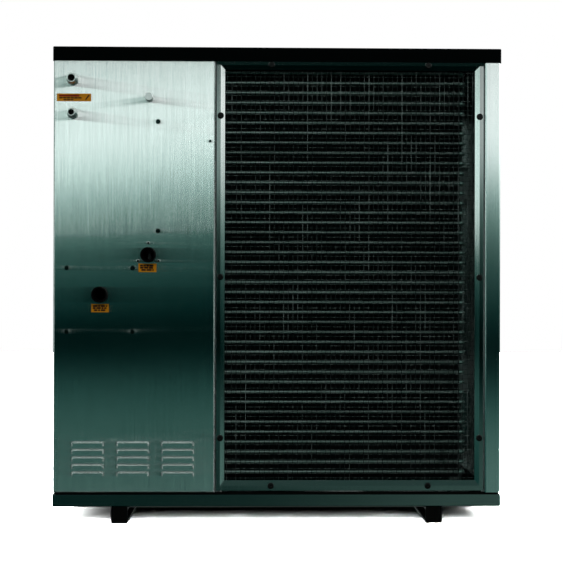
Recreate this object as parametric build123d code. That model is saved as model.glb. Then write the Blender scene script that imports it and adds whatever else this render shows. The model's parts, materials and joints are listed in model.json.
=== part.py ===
from build123d import *
import math
import os

# Pool heat pump, coil side facing -Y, +Z up, origin on the floor at the middle of the cabinet.
# All lengths are in millimetres.

# Driving dimensions
BODY_WIDTH = 1128.0
BODY_DEPTH = 560.0
HEIGHT = 1200.0
RAIL_SIZE = 42.0
PAN_HEIGHT = 31.0
PAN_GAP = 5.0
LID_SKIRT = 36.0
SHEET = 1.2
LID_SHEET = 1.5
PAN_SHEET = 2.0
FLANGE = 15.0
BEND = 4.0
PROUD = 40.0
SERVICE_WIDTH = 406.8
CORNER_RETURN = 39.4
TUBE_PITCH = 25.4
TUBE_RADIUS = 9.52 / 2
TUBE_ROWS = 41
MESH_PITCH = 12.0
FAN_RADIUS = 222.0

# Planes and lines that the parts share
LEFT = -BODY_WIDTH / 2
RIGHT = BODY_WIDTH / 2
FRONT = -BODY_DEPTH / 2
BACK = BODY_DEPTH / 2
PAN_TOP = RAIL_SIZE + PAN_HEIGHT
PAN_FLOOR = RAIL_SIZE + PAN_SHEET
PANEL_BOTTOM = PAN_TOP + PAN_GAP
PANEL_TOP = HEIGHT - LID_SHEET
SEAM_X = LEFT + SERVICE_WIDTH
EDGE_IN = FLANGE + 1.0
INNER_Y = BACK - EDGE_IN
DIVIDER_X = SEAM_X + 0.7

# Finned coil
ROW_DEPTH = 19.05
FRONT_ROW_Y = FRONT + 38.2
BACK_ROW_Y = FRONT_ROW_Y + ROW_DEPTH
FIN_FRONT = FRONT_ROW_Y - ROW_DEPTH / 2
FIN_BACK = BACK_ROW_Y + ROW_DEPTH / 2
FIN_LEFT = SEAM_X + 7.2
FIN_RIGHT = FIN_LEFT + 612.0
COIL_BOTTOM = 112.6
FIRST_ROW_Z = COIL_BOTTOM + TUBE_PITCH / 2
COIL_TOP = COIL_BOTTOM + TUBE_ROWS * TUBE_PITCH
END_PLATE = 2.0
TUBE_STUB = 3.0
CIRCUIT_ROWS = 7
TUBE_START = FIN_LEFT - END_PLATE - TUBE_STUB

# Guard in front of the coil: outer edge, then the width of each member
FRAME_LEFT = SEAM_X + 3.4
FRAME_RIGHT = RIGHT - CORNER_RETURN - 4.1
FRAME_BOTTOM = 83.0
FRAME_TOP = HEIGHT - LID_SKIRT + 1.3
FRAME_FLAT = 9.7
FRAME_SLOPE = 10.6
SILL_FLAT = 12.0
SILL_SLOPE = 13.0
FRAME_SINK = 9.0
HEAD_RAIL_LEAN = 0.9
GUARD_SCREW_HEAD = 8.25
WIRE_RADIUS = 0.65
WIRE_Y = FRONT + FRAME_SINK + 3.2

# Water side
INLET_X, INLET_Z, INLET_RADIUS = -446.2, 575.5, 20.0
OUTLET_X, OUTLET_Z, OUTLET_RADIUS = -325.2, 676.0, 18.75
PIPE_WALL = 3.0
SOCKET_DEPTH = 25.0
SOCKET_STEP = 3.0
PIPE_PROUD = 24.0
EXCHANGER_X, EXCHANGER_Y, EXCHANGER_RADIUS = -400.0, -150.0, 95.0
EXCHANGER_BOTTOM, EXCHANGER_TOP = 500.0, 1000.0
EXCHANGER_WALL = 6.0

# Glands, port, fixings and labels on the service panel
GLAND_X = -514.5
GLANDS = [(1115.0, 14.0, 8.75), (1029.5, 12.8, 7.25)]
GLAND_COLLAR, GLAND_RIM = 26.0, 2.4
PORT_X, PORT_Z = -322.4, 1069.0
BRACKET_X, BRACKET_Z, BRACKET_W, BRACKET_H = -447.0, 562.7, 165.0, 160.0
RAIL_BOLT_X, RAIL_BOLT_LOW, RAIL_BOLT_HIGH = -301.2, 736.2, 1011.6
FLANGE_SCREW_RADIUS = 30.0
LABELS = [(-512.8, 1071.4, 85.7, 19.3), (-327.3, 643.4, 45.0, 21.5), (-446.0, 541.8, 43.7, 20.8)]
LABEL_THICK = 0.3
LOUVRE_LENGTH, LOUVRE_HEIGHT, LOUVRE_PITCH = 82.0, 12.0, 18.9
LOUVRE_DEPTH, LOUVRE_ROUND = 5.0, 4.2
LOUVRE_COLUMN_PITCH = 113.0
LOUVRE_X, LOUVRE_Z = -476.0, 119.5
LOUVRE_COLUMNS, LOUVRE_ROWS = 3, 5

# Fans, one above the other on the far side
FAN_X = (DIVIDER_X + RIGHT) / 2
FAN_NAMES = ["lower", "upper"]
FAN_Z = {"lower": 350.0, "upper": 892.0}
ORIFICE_RADIUS = FAN_RADIUS + 12.0
SHAFT_RADIUS = 6.0
MOTOR_FRONT, MOTOR_BACK = 120.0, 200.0
ROTOR_FRONT, ROTOR_BACK = 206.0, 268.0
GUARD_BOLT_RADIUS = ORIFICE_RADIUS + 14.0
GUARD_RADIUS = GUARD_BOLT_RADIUS - 8.2

# Refrigerant side
COMPRESSOR_X, COMPRESSOR_Y, COMPRESSOR_RADIUS = -435.0, 110.0, 84.0
COMPRESSOR_BASE, COMPRESSOR_TOP = 70.0, 470.0
ACCUMULATOR_X, ACCUMULATOR_Y, ACCUMULATOR_RADIUS = -290.0, 110.0, 48.0
VALVE_Z = 620.0
VALVE_RADIUS = 18.0
SUCTION_X, LIQUID_X = -200.0, -230.0
LINE_RADIUS = 8.0

# Control side
BOX_LEFT, BOX_RIGHT = -545.0, -185.0
BOX_FRONT, BOX_BACK = 120.0, 250.0
BOX_BOTTOM, BOX_TOP = 860.0, 1160.0
CONTROL_X, CONTROL_Z = -360.0, 960.0
CONTROL_W, CONTROL_H, CONTROL_D = 150.0, 90.0, 22.0
BUTTONS = {"button_down": -45.0, "button_power": 0.0, "button_up": 45.0}
BUTTON_RADIUS = 5.0
BUTTON_TRAVEL = 1.0

MIN3 = (Align.MIN, Align.MIN, Align.MIN)
ON_END = (Align.CENTER, Align.CENTER, Align.MIN)
AXES = {"X": (1, 0, 0), "Y": (0, 1, 0), "Z": (0, 0, 1)}


def block(low, high):
    """Box between two corners."""
    size = [b - a for a, b in zip(low, high)]
    return Pos(*low) * Box(*size, align=MIN3)


def rod(start, axis, radius, length):
    """Solid cylinder from start along +axis."""
    return Plane(origin=start, z_dir=AXES[axis]).location * Cylinder(radius, length, align=ON_END)


def tube(start, axis, radius, wall, length):
    """Open tube from start along +axis."""
    return rod(start, axis, radius, length) - rod(start, axis, radius - wall, length)


def bent_pipe(points, radius, wall, bend):
    """Tube along straight runs joined by arcs."""
    path = FilletPolyline(*points, radius=bend)
    ring = Circle(radius) - Circle(radius - wall)
    return sweep(Plane(origin=path @ 0, z_dir=path % 0) * ring, path)


def hex_bolt(x, z, face=FRONT, across=10.0, head=4.5, length=16.0):
    """Flanged hex bolt through a panel, head outside the face that looks to -Y."""
    collar = rod((x, face - 1.2, z), "Y", across * 0.62, 1.2)
    hexagon = extrude(RegularPolygon(across / 2, 6, major_radius=False), head - 1.2)
    top = Plane(origin=(x, face - 1.2, z), z_dir=(0, -1, 0)).location * hexagon
    shank = rod((x, face, z), "Y", 3.0, length)
    return collar + top + shank


def pan_screw(x, z, face=FRONT, radius=4.0, shank=2.0, head=2.6, length=10.0):
    """Round pan-head screw through a panel, head outside the face that looks to -Y."""
    cap = rod((x, face - head, z), "Y", radius, head)
    cap = fillet(cap.faces().sort_by(Axis.Y)[0].edges(), head * 0.6)
    return cap + rod((x, face, z), "Y", shank, length)


def turned(part, x=0.0, y=0.0):
    """The part turned half round about the vertical line through x, y."""
    return Pos(x, y, 0) * Rot(0, 0, 180) * Pos(-x, -y, 0) * part


def folded_panel(width, height):
    """Sheet with its face on Y = 0 looking to -Y and all four edges folded back."""
    outer = Box(width, FLANGE, height, align=MIN3)
    outer = fillet(outer.faces().sort_by(Axis.Y)[0].edges(), BEND)
    inner = Pos(SHEET, SHEET, SHEET) * Box(width - 2 * SHEET, FLANGE, height - 2 * SHEET, align=MIN3)
    inner = fillet(inner.faces().sort_by(Axis.Y)[0].edges(), BEND - SHEET)
    return outer - inner


def tray(half_x, half_y, height, sheet):
    """Shallow box, open upwards, with rounded lower and corner edges."""
    outer = Box(2 * half_x, 2 * half_y, height, align=ON_END)
    outer = fillet(outer.edges().filter_by(Axis.Z) + outer.faces().sort_by(Axis.Z)[0].edges(), 3.0)
    inner_size = (2 * (half_x - sheet), 2 * (half_y - sheet), height)
    inner = Pos(0, 0, sheet) * Box(*inner_size, align=ON_END)
    return outer - inner


# Cabinet ---------------------------------------------------------------------------------------

RAIL_X = 396.5
RAIL_WALL = 2.5
RAIL_LIP = 8.0
RAIL_END = BACK - 2.0
GROUND_HOLE_Y = 230.0
GROUND_HOLE_RADIUS = 5.5
RAIL_BOLT_Y = 150.0
DRAIN_X, DRAIN_Y, DRAIN_RADIUS = 100.0, -190.0, 10.0


def foot_rail(side):
    """Lipped channel, open towards the middle of the unit, with floor-bolt holes."""
    half = RAIL_SIZE / 2
    outer = block((-half, -RAIL_END, 0), (half, RAIL_END, RAIL_SIZE))
    outer = fillet(outer.edges().filter_by(Axis.Y), 2.5)
    hollow_top = RAIL_SIZE - RAIL_WALL
    hollow = block((-half + RAIL_WALL, -RAIL_END, RAIL_WALL), (half - RAIL_WALL, RAIL_END, hollow_top))
    mouth = block(
        (half - RAIL_WALL, -RAIL_END, RAIL_LIP), (half, RAIL_END, RAIL_SIZE - RAIL_LIP)
    )
    rail = outer - hollow - mouth
    for y in (-GROUND_HOLE_Y, GROUND_HOLE_Y):
        rail -= rod((0, y, -1), "Z", GROUND_HOLE_RADIUS, RAIL_WALL + 2)
    for y in (-RAIL_BOLT_Y, RAIL_BOLT_Y):
        rail -= rod((0, y, hollow_top - 1), "Z", 3.3, RAIL_WALL + 2)
    if side > 0:
        rail = turned(rail)
    return Pos(side * RAIL_X, 0, 0) * rail


def foot_end_caps():
    """Moulded plugs that close both ends of both rails."""
    half = RAIL_SIZE / 2
    inner = half - RAIL_WALL
    plug = block((-inner, RAIL_END - 12, RAIL_WALL), (inner, RAIL_END, RAIL_SIZE - RAIL_WALL))
    plate = block((-half, RAIL_END, 0), (half, RAIL_END + 2, RAIL_SIZE))
    plate = fillet(plate.edges().filter_by(Axis.Y), 2.5)
    cap = plate + plug
    caps = []
    for x in (-RAIL_X, RAIL_X):
        caps += [Pos(x, 0, 0) * cap, Pos(x, 0, 0) * turned(cap)]
    return caps


def base_pan():
    """Drip tray that carries everything, with bolt and drain holes."""
    pan = Pos(0, 0, RAIL_SIZE) * tray(RIGHT + 1.5, BACK + 1.5, PAN_HEIGHT, PAN_SHEET)
    for x in (-RAIL_X, RAIL_X):
        for y in (-RAIL_BOLT_Y, RAIL_BOLT_Y):
            pan -= rod((x, y, RAIL_SIZE - 1), "Z", 3.3, PAN_SHEET + 2)
    for x in (-DRAIN_X, DRAIN_X + 200):
        pan -= rod((x, DRAIN_Y, RAIL_SIZE - 1), "Z", DRAIN_RADIUS, PAN_SHEET + 2)
    return pan


def base_seal():
    """Closed-cell strip between the pan floor and the lower flanges of the panels."""
    ring = block((LEFT + 6, FRONT + 6, PAN_FLOOR), (RIGHT - 6, BACK - 6, PANEL_BOTTOM))
    core = block((LEFT + 14, FRONT + 14, PAN_FLOOR), (RIGHT - 14, BACK - 14, PANEL_BOTTOM))
    return ring - core


def corner_posts():
    """Four angle posts inside the panel flanges."""
    leg, wall = 30.0, 2.0
    angle = Box(leg, leg, PANEL_TOP - PAN_FLOOR, align=MIN3)
    angle -= Pos(wall, wall, 0) * Box(leg, leg, PANEL_TOP - PAN_FLOOR, align=MIN3)
    posts = []
    for x, y, turn in ((-1, -1, 0), (1, -1, 90), (1, 1, 180), (-1, 1, 270)):
        corner = (x * (RIGHT - EDGE_IN), y * INNER_Y, PAN_FLOOR)
        posts.append(Pos(*corner) * Rot(0, 0, turn) * angle)
    return posts


def top_cover():
    """Folded lid whose skirt laps over the tops of the panels."""
    lid = tray(RIGHT + LID_SHEET, BACK + LID_SHEET, LID_SKIRT, LID_SHEET)
    return Pos(0, 0, HEIGHT) * Rot(180, 0, 0) * lid


def hood(x, z, grow):
    """Round-shouldered block that stands out of the panel face, grown or shrunk by a margin except underneath."""
    half = LOUVRE_LENGTH / 2 + grow
    height = LOUVRE_HEIGHT + grow
    centre = (x, FRONT + SHEET, z + height / 2)
    depth = LOUVRE_DEPTH + SHEET + grow
    body = Pos(*centre) * Box(2 * half, depth, height, align=(Align.CENTER, Align.MAX, Align.CENTER))
    shoulders = body.edges().filter_by(Axis.Y).group_by(Axis.Z)[-1]
    body = fillet(shoulders, LOUVRE_ROUND + 1.6 + grow)
    rim = body.faces().sort_by(Axis.Y)[0].edges()
    return fillet([edge for edge in rim if edge.center().Z > z + 0.5], LOUVRE_ROUND + grow)


def add_louvres(panel):
    """Pressed hoods with a flat face, closed above and at both ends and open underneath."""
    for column in range(LOUVRE_COLUMNS):
        for row in range(LOUVRE_ROWS):
            x = LOUVRE_X + column * LOUVRE_COLUMN_PITCH
            z = LOUVRE_Z + row * LOUVRE_PITCH
            inner = hood(x, z, -SHEET)
            panel = panel - inner + (hood(x, z, 0.0) - inner)
    return panel


def panel_bolt_places():
    """Where the hex bolts go through the service panel, as x, z."""
    places = [(RAIL_BOLT_X, RAIL_BOLT_LOW), (RAIL_BOLT_X, RAIL_BOLT_HIGH)]
    for x in (-1, 1):
        for z in (-1, 1):
            places.append((BRACKET_X + x * BRACKET_W / 2, BRACKET_Z + z * BRACKET_H / 2))
    return places


def flange_screw_places():
    """Three screws around the upper water connection, and one by the seam, as x, z."""
    places = [(-170.4, 963.1)]
    for angle in (90, 210, 330):
        turn = math.radians(angle)
        x = OUTLET_X + FLANGE_SCREW_RADIUS * math.cos(turn)
        places.append((x, OUTLET_Z + FLANGE_SCREW_RADIUS * math.sin(turn)))
    return places


def edge_screw_heights():
    """Heights of the screws down the edge of a side or fan-side panel."""
    return [PANEL_BOTTOM + 40, 620.0, PANEL_TOP - 80]


def service_panel():
    """Coil-side panel of the technical compartment."""
    panel = Pos(LEFT, FRONT, PANEL_BOTTOM) * folded_panel(SERVICE_WIDTH, PANEL_TOP - PANEL_BOTTOM)
    holes = [(INLET_X, INLET_Z, INLET_RADIUS + 1), (OUTLET_X, OUTLET_Z, OUTLET_RADIUS + 1)]
    holes += [(GLAND_X, z, radius - 3.9) for z, radius, _ in GLANDS]
    holes += [(PORT_X, PORT_Z, 7.1)]
    holes += [(x, z, 3.2) for x, z in panel_bolt_places()]
    holes += [(x, z, 2.2) for x, z in flange_screw_places()]
    for x, z, radius in holes:
        panel -= rod((x, FRONT - 1, z), "Y", radius, SHEET + 2)
    return add_louvres(panel)


def side_screw_places(side):
    """Screws along both upright edges of a side panel, as y, z."""
    first = INNER_Y - 8
    return [(y, z) for y in (-first, first) for z in edge_screw_heights()]


def side_hole(side, y, z):
    """Clearance hole for a side-panel screw."""
    return rod((side * RIGHT - 3, y, z), "X", 2.2, 6)


def side_panel_left():
    """Plain panel on the technical compartment's side."""
    panel = folded_panel(2 * INNER_Y, PANEL_TOP - PANEL_BOTTOM)
    panel = Pos(LEFT, INNER_Y, PANEL_BOTTOM) * Rot(0, 0, -90) * panel
    for y, z in side_screw_places(-1):
        panel -= side_hole(-1, y, z)
    return panel


def side_panel_right():
    """Panel on the coil's side, folded round the front corner as far as the guard frame."""
    left = RIGHT - CORNER_RETURN
    outer = block((left, FRONT, PANEL_BOTTOM), (RIGHT, INNER_Y, PANEL_TOP))
    front_edges = outer.faces().sort_by(Axis.Y)[0].edges().filter_by(Axis.Z)
    outer = fillet(front_edges, BEND)
    inner = block(
        (left + SHEET, FRONT + SHEET, PANEL_BOTTOM + SHEET),
        (RIGHT - SHEET, INNER_Y - SHEET, PANEL_TOP - SHEET),
    )
    inner = fillet(inner.faces().sort_by(Axis.Y)[0].edges().filter_by(Axis.Z), BEND - SHEET)
    open_side = block((left - 1, FRONT + FLANGE, 0), (RIGHT - FLANGE, BACK, HEIGHT))
    panel = outer - inner - open_side
    for y, z in side_screw_places(1):
        panel -= side_hole(1, y, z)
    return panel


def guard_bolt_places(fan):
    """Four bolts on a circle round a fan orifice, as x, z."""
    places = []
    for angle in (45, 135, 225, 315):
        turn = math.radians(angle)
        x = FAN_X + GUARD_BOLT_RADIUS * math.cos(turn)
        places.append((x, FAN_Z[fan] + GUARD_BOLT_RADIUS * math.sin(turn)))
    return places


def back_screw_places(low_x, high_x):
    """Screws down both edges of a fan-side panel, as x, z."""
    return [(x, z) for x in (low_x + 9, high_x - 9) for z in edge_screw_heights()]


def fan_panel():
    """Fan-side panel with a rolled inlet ring at each orifice."""
    width = RIGHT - FRAME_LEFT
    panel = turned(folded_panel(width, PANEL_TOP - PANEL_BOTTOM))
    panel = Pos(RIGHT, BACK, PANEL_BOTTOM) * panel
    for fan in FAN_NAMES:
        centre = (FAN_X, BACK - 42, FAN_Z[fan])
        panel = panel + rod(centre, "Y", ORIFICE_RADIUS + SHEET, 42)
        panel -= rod(centre, "Y", ORIFICE_RADIUS, 43)
        for x, z in guard_bolt_places(fan):
            panel -= rod((x, BACK - 3, z), "Y", 3.3, 6)
    for x, z in back_screw_places(FRAME_LEFT, RIGHT):
        panel -= rod((x, BACK - 3, z), "Y", 2.2, 6)
    return panel


def control_panel():
    """Fan-side panel of the technical compartment, with the controller cut-out."""
    panel = turned(folded_panel(SERVICE_WIDTH, PANEL_TOP - PANEL_BOTTOM))
    panel = Pos(SEAM_X, BACK, PANEL_BOTTOM) * panel
    panel -= block(
        (CONTROL_X - 60, BACK - 3, CONTROL_Z - 30), (CONTROL_X + 60, BACK + 1, CONTROL_Z + 30)
    )
    for x, z in back_screw_places(LEFT, SEAM_X):
        panel -= rod((x, BACK - 3, z), "Y", 2.2, 6)
    return panel


def divider_panel():
    """Wall between the technical compartment and the air path, open at the coil's ends."""
    wall = block((DIVIDER_X, -INNER_Y, PAN_FLOOR), (DIVIDER_X + SHEET, INNER_Y, PANEL_TOP))
    window = block(
        (DIVIDER_X - 1, FIN_FRONT - 2, COIL_BOTTOM - 2), (DIVIDER_X + 3, FIN_BACK + 2, COIL_TOP + 2)
    )
    return wall - window


# Guard over the coil ---------------------------------------------------------------------------

BEND_BOX = (FRAME_LEFT + FRAME_FLAT, FRAME_RIGHT - FRAME_FLAT, FRAME_BOTTOM + SILL_FLAT, FRAME_TOP - FRAME_FLAT)
OPEN_BOX = (
    BEND_BOX[0] + FRAME_SLOPE,
    BEND_BOX[1] - FRAME_SLOPE,
    BEND_BOX[2] + SILL_SLOPE,
    BEND_BOX[3] - FRAME_SLOPE,
)
OUTER_BOX = (FRAME_LEFT, FRAME_RIGHT, FRAME_BOTTOM, FRAME_TOP)
GUARD_SCREW_X = [-16.0, 380.3]
GUARD_SCREW_Z = [215.5, 621.0, 1027.5]


def slab(edges, front, back):
    """Block over left, right, bottom, top edges between two Y planes."""
    return block((edges[0], front, edges[2]), (edges[1], back, edges[3]))


def funnel(wide, narrow, front, depth):
    """Solid that narrows from one rectangle to another over a depth along +Y."""
    faces = []
    for edges, y in ((wide, front), (narrow, front + depth)):
        width, height = edges[1] - edges[0], edges[3] - edges[2]
        centre = ((edges[0] + edges[1]) / 2, y, (edges[2] + edges[3]) / 2)
        plane = Plane(origin=centre, x_dir=(1, 0, 0), z_dir=(0, 1, 0))
        faces.append(plane * Rectangle(width, height))
    return loft(faces)


def guard_screw_places():
    """Centres of the guard screws, on the bend line of the frame, as x, z."""
    places = [(x, z) for x in (BEND_BOX[0], BEND_BOX[1]) for z in GUARD_SCREW_Z]
    places += [(x, z) for x in GUARD_SCREW_X for z in (BEND_BOX[2], BEND_BOX[3])]
    return places


def head_rail_wedge():
    """The top length's flange leans forward a little under the lid, so its face looks slightly down."""
    top = HEIGHT - LID_SKIRT - 0.3
    section = [(FRONT, BEND_BOX[3]), (FRONT, top), (FRONT - HEAD_RAIL_LEAN, top)]
    plane = Plane(origin=(FRAME_LEFT, 0, 0), x_dir=(0, 1, 0), z_dir=(1, 0, 0))
    return plane * extrude(make_face(Polyline(*section, close=True)), FRAME_RIGHT - FRAME_LEFT)


def guard_frame():
    """Picture-frame moulding in four mitred lengths."""
    flat = slab(OUTER_BOX, FRONT, FRONT + SHEET) - slab(BEND_BOX, FRONT - 1, FRONT + SHEET + 1)
    slope = slab(BEND_BOX, FRONT, FRONT + SHEET) + funnel(BEND_BOX, OPEN_BOX, FRONT + SHEET, FRAME_SINK)
    slope -= funnel(BEND_BOX, OPEN_BOX, FRONT, FRAME_SINK)
    slope -= slab(OPEN_BOX, FRONT - 1, FRONT + 20)
    inner_lip = [OPEN_BOX[0] - SHEET, OPEN_BOX[1] + SHEET, OPEN_BOX[2] - SHEET, OPEN_BOX[3] + SHEET]
    lip_front = FRONT + FRAME_SINK
    lip = slab(inner_lip, lip_front, WIRE_Y - 1.8) - slab(OPEN_BOX, FRONT, FRONT + 20)
    wall_box = [FRAME_LEFT + SHEET, FRAME_RIGHT - SHEET, FRAME_BOTTOM + SHEET, FRAME_TOP - SHEET]
    wall = slab(OUTER_BOX, FRONT, FRONT + FLANGE) - slab(wall_box, FRONT - 1, FRONT + 20)
    whole = flat + slope + lip + wall + head_rail_wedge()
    for x, z in guard_screw_places():
        whole -= rod((x, FRONT - 1, z), "Y", 2.8, 12)
        whole -= rod((x, FRONT - 2 * HEAD_RAIL_LEAN, z), "Y", GUARD_SCREW_HEAD + 0.3, 2 * HEAD_RAIL_LEAN)
    left, right, bottom, top = OUTER_BOX
    in_left, in_right, in_bottom, in_top = OPEN_BOX
    corners = [(left, bottom), (right, bottom), (right, top), (left, top)]
    inner = [(in_left, in_bottom), (in_right, in_bottom), (in_right, in_top), (in_left, in_top)]
    members = []
    for i in range(4):
        j = (i + 1) % 4
        outline = [corners[i], corners[j], inner[j], inner[i]]
        mitre = make_face(Polyline(*[(x, z) for x, z in outline], close=True))
        prism = Plane(origin=(0, FRONT + 20, 0), x_dir=(1, 0, 0), z_dir=(0, -1, 0)) * extrude(mitre, 40)
        members.append(whole & prism)
    return members


def wire_guard():
    """Welded square mesh: level wires in front, upright wires behind, held in a flat border."""
    border = [OPEN_BOX[0] - 7, OPEN_BOX[1] + 7, OPEN_BOX[2] - 7, OPEN_BOX[3] + 7]
    inside = [OPEN_BOX[0] - 2, OPEN_BOX[1] + 2, OPEN_BOX[2] - 2, OPEN_BOX[3] + 2]
    ring = slab(border, WIRE_Y - 1.8, WIRE_Y + 1.8) - slab(inside, WIRE_Y - 3, WIRE_Y + 3)
    columns = int((OPEN_BOX[1] - OPEN_BOX[0]) / MESH_PITCH)
    rows = int((OPEN_BOX[3] - OPEN_BOX[2]) / MESH_PITCH)
    first_x = (OPEN_BOX[0] + OPEN_BOX[1] - columns * MESH_PITCH) / 2
    first_z = (OPEN_BOX[2] + OPEN_BOX[3] - rows * MESH_PITCH) / 2
    level_y, upright_y = WIRE_Y - WIRE_RADIUS - 0.02, WIRE_Y + WIRE_RADIUS + 0.02
    wires = []
    for row in range(rows + 1):
        start = (border[0] + 2, level_y, first_z + row * MESH_PITCH)
        wires.append(rod(start, "X", WIRE_RADIUS, border[1] - border[0] - 4))
    for column in range(columns + 1):
        start = (first_x + column * MESH_PITCH, upright_y, border[2] + 2)
        wires.append(rod(start, "Z", WIRE_RADIUS, border[3] - border[2] - 4))
    return ring + wires


def guard_screws():
    """Large-head screws that hold the guard frame."""
    screws = []
    for x, z in guard_screw_places():
        head = rod((x, FRONT - 4.2, z), "Y", GUARD_SCREW_HEAD, 4.2)
        head = fillet(head.faces().sort_by(Axis.Y)[0].edges(), 2.6)
        recess = rod((x, FRONT - 4.3, z), "Y", 2.4, 2.4)
        screws.append(head - recess + rod((x, FRONT, z), "Y", 2.5, 14))
    return screws


# Finned coil -----------------------------------------------------------------------------------


def row_z(row):
    """Height of a tube row."""
    return FIRST_ROW_Z + row * TUBE_PITCH


def circuits():
    """First and last row of each refrigerant circuit."""
    starts = range(0, TUBE_ROWS, CIRCUIT_ROWS)
    return [(s, min(s + CIRCUIT_ROWS, TUBE_ROWS) - 1) for s in starts]


def tube_holes(plate_left, plate_right, clearance):
    """Rods for all tube holes through a plate or the fin pack."""
    return [
        rod((plate_left - 1, y, row_z(row)), "X", TUBE_RADIUS + clearance, plate_right - plate_left + 2)
        for row in range(TUBE_ROWS)
        for y in (FRONT_ROW_Y, BACK_ROW_Y)
    ]


def coil_fins():
    """Fin pack as one block with a bore for every tube."""
    pack = block((FIN_LEFT, FIN_FRONT, COIL_BOTTOM), (FIN_RIGHT, FIN_BACK, COIL_TOP))
    return pack - tube_holes(FIN_LEFT, FIN_RIGHT, 0.03)


def coil_end_plates():
    """Flanged plates at both ends of the fin pack."""
    plates = []
    for left in (FIN_LEFT - END_PLATE, FIN_RIGHT):
        plate = block((left, FIN_FRONT, COIL_BOTTOM), (left + END_PLATE, FIN_BACK, COIL_TOP))
        plates.append(plate - tube_holes(left, left + END_PLATE, 0.03))
    return plates


def hairpin(z):
    """Front and back tube of one row with the bend that joins them at the far end."""
    end = FIN_RIGHT + END_PLATE + TUBE_STUB
    bend = ROW_DEPTH / 2
    start = (TUBE_START, FRONT_ROW_Y, z)
    path = Line(start, (end, FRONT_ROW_Y, z))
    path += ThreePointArc(
        (end, FRONT_ROW_Y, z), (end + bend, FRONT_ROW_Y + bend, z), (end, BACK_ROW_Y, z)
    )
    path += Line((end, BACK_ROW_Y, z), (TUBE_START, BACK_ROW_Y, z))
    ring = Circle(TUBE_RADIUS) - Circle(TUBE_RADIUS - 0.6)
    return sweep(Plane(origin=start, z_dir=(1, 0, 0)) * ring, path)


def coil_tubes():
    """One hairpin for each row."""
    pin = hairpin(0)
    return [Pos(0, 0, row_z(row)) * pin for row in range(TUBE_ROWS)]


def coil_return_bends():
    """Crossover bends from the back tube of one row to the front tube of the next."""
    low = Vector(TUBE_START, BACK_ROW_Y, 0)
    high = Vector(TUBE_START, FRONT_ROW_Y, TUBE_PITCH)
    middle = (low + high) * 0.5 - Vector((high - low).length / 2, 0, 0)
    ring = Circle(TUBE_RADIUS) - Circle(TUBE_RADIUS - 0.6)
    bend = sweep(Plane(origin=low, z_dir=(-1, 0, 0)) * ring, ThreePointArc(low, middle, high))
    rows = [row for first, last in circuits() for row in range(first, last)]
    return [Pos(0, 0, row_z(row)) * bend for row in rows]


def header(x, y, radius, rows, side_y):
    """Upright manifold with a stub to the coil at each given row."""
    low, high = row_z(rows[0]) - 25, row_z(rows[-1]) + 25
    body = rod((x, y, low), "Z", radius, high - low)
    for row in rows:
        body += rod((x, side_y, row_z(row)), "X", TUBE_RADIUS, TUBE_START - x)
    bores = [rod((x, y, low + 1.5), "Z", radius - 1.2, high - low - 3)]
    bores += [rod((x, side_y, row_z(row)), "X", TUBE_RADIUS - 0.8, TUBE_START - x) for row in rows]
    return body - bores


def suction_header():
    """Gas manifold at the top tube of every circuit."""
    return header(SUCTION_X, BACK_ROW_Y, 11.0, [last for _, last in circuits()], BACK_ROW_Y)


def liquid_header():
    """Liquid manifold at the lowest tube of every circuit."""
    return header(LIQUID_X, FRONT_ROW_Y, LINE_RADIUS, [first for first, _ in circuits()], FRONT_ROW_Y)


# Fans ------------------------------------------------------------------------------------------

HUB_RADIUS = 55.0
BLADES = 5


def blade_section(radius, chord, pitch, camber):
    """Cambered blade section on a plane square to the radius."""
    half, thick = chord / 2, 2.5
    lower = ThreePointArc((-half, 0), (0, camber), (half, 0))
    upper = ThreePointArc((half, thick), (0, camber + thick), (-half, thick))
    edges = lower + Line((half, 0), (half, thick)) + upper + Line((-half, thick), (-half, 0))
    face = Rot(0, 0, pitch) * make_face(edges)
    return Plane(origin=(0, 0, radius), x_dir=(1, 0, 0), z_dir=(0, 0, 1)) * face


def fan_rotor(fan):
    """Moulded hub with twisted blades, turning about Y."""
    middle = (ROTOR_FRONT + ROTOR_BACK) / 2
    blade = loft([blade_section(HUB_RADIUS - 8, 92, 34, 8), blade_section(FAN_RADIUS + 14, 176, 17, 16)])
    hub = rod((0, ROTOR_FRONT - middle, 0), "Y", HUB_RADIUS, ROTOR_BACK - ROTOR_FRONT)
    trim = rod((0, -60, 0), "Y", FAN_RADIUS, 120)
    blades = [Rot(0, i * 360 / BLADES, 0) * blade for i in range(BLADES)]
    rotor = hub + [blade & trim for blade in blades]
    rotor -= rod((0, ROTOR_FRONT - middle - 1, 0), "Y", SHAFT_RADIUS, 80)
    return Pos(FAN_X, middle, FAN_Z[fan]) * rotor


def fan_shaft(fan):
    """Motor shaft that carries the rotor."""
    return rod((FAN_X, MOTOR_FRONT + 12, FAN_Z[fan]), "Y", SHAFT_RADIUS, ROTOR_BACK - MOTOR_FRONT - 16)


def fan_motor(fan):
    """Motor body with a stepped nose and a bore for its shaft."""
    centre_z = FAN_Z[fan]
    body = rod((FAN_X, MOTOR_FRONT, centre_z), "Y", 60, MOTOR_BACK - MOTOR_FRONT - 12)
    body += rod((FAN_X, MOTOR_BACK - 12, centre_z), "Y", 30, 12)
    bore = rod((FAN_X, MOTOR_FRONT + 11, centre_z), "Y", SHAFT_RADIUS + 0.05, MOTOR_BACK)
    return body - bore


def fan_bracket(fan):
    """Folded bar across the air path that the motor bolts to."""
    low_x, high_x = DIVIDER_X + SHEET, RIGHT - EDGE_IN
    z = FAN_Z[fan]
    bar = block((low_x, MOTOR_FRONT - 28, z - 45), (high_x, MOTOR_FRONT, z + 45))
    hollow = block((low_x - 1, MOTOR_FRONT - 29, z - 42), (high_x + 1, MOTOR_FRONT - 3, z + 42))
    return bar - hollow


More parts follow.
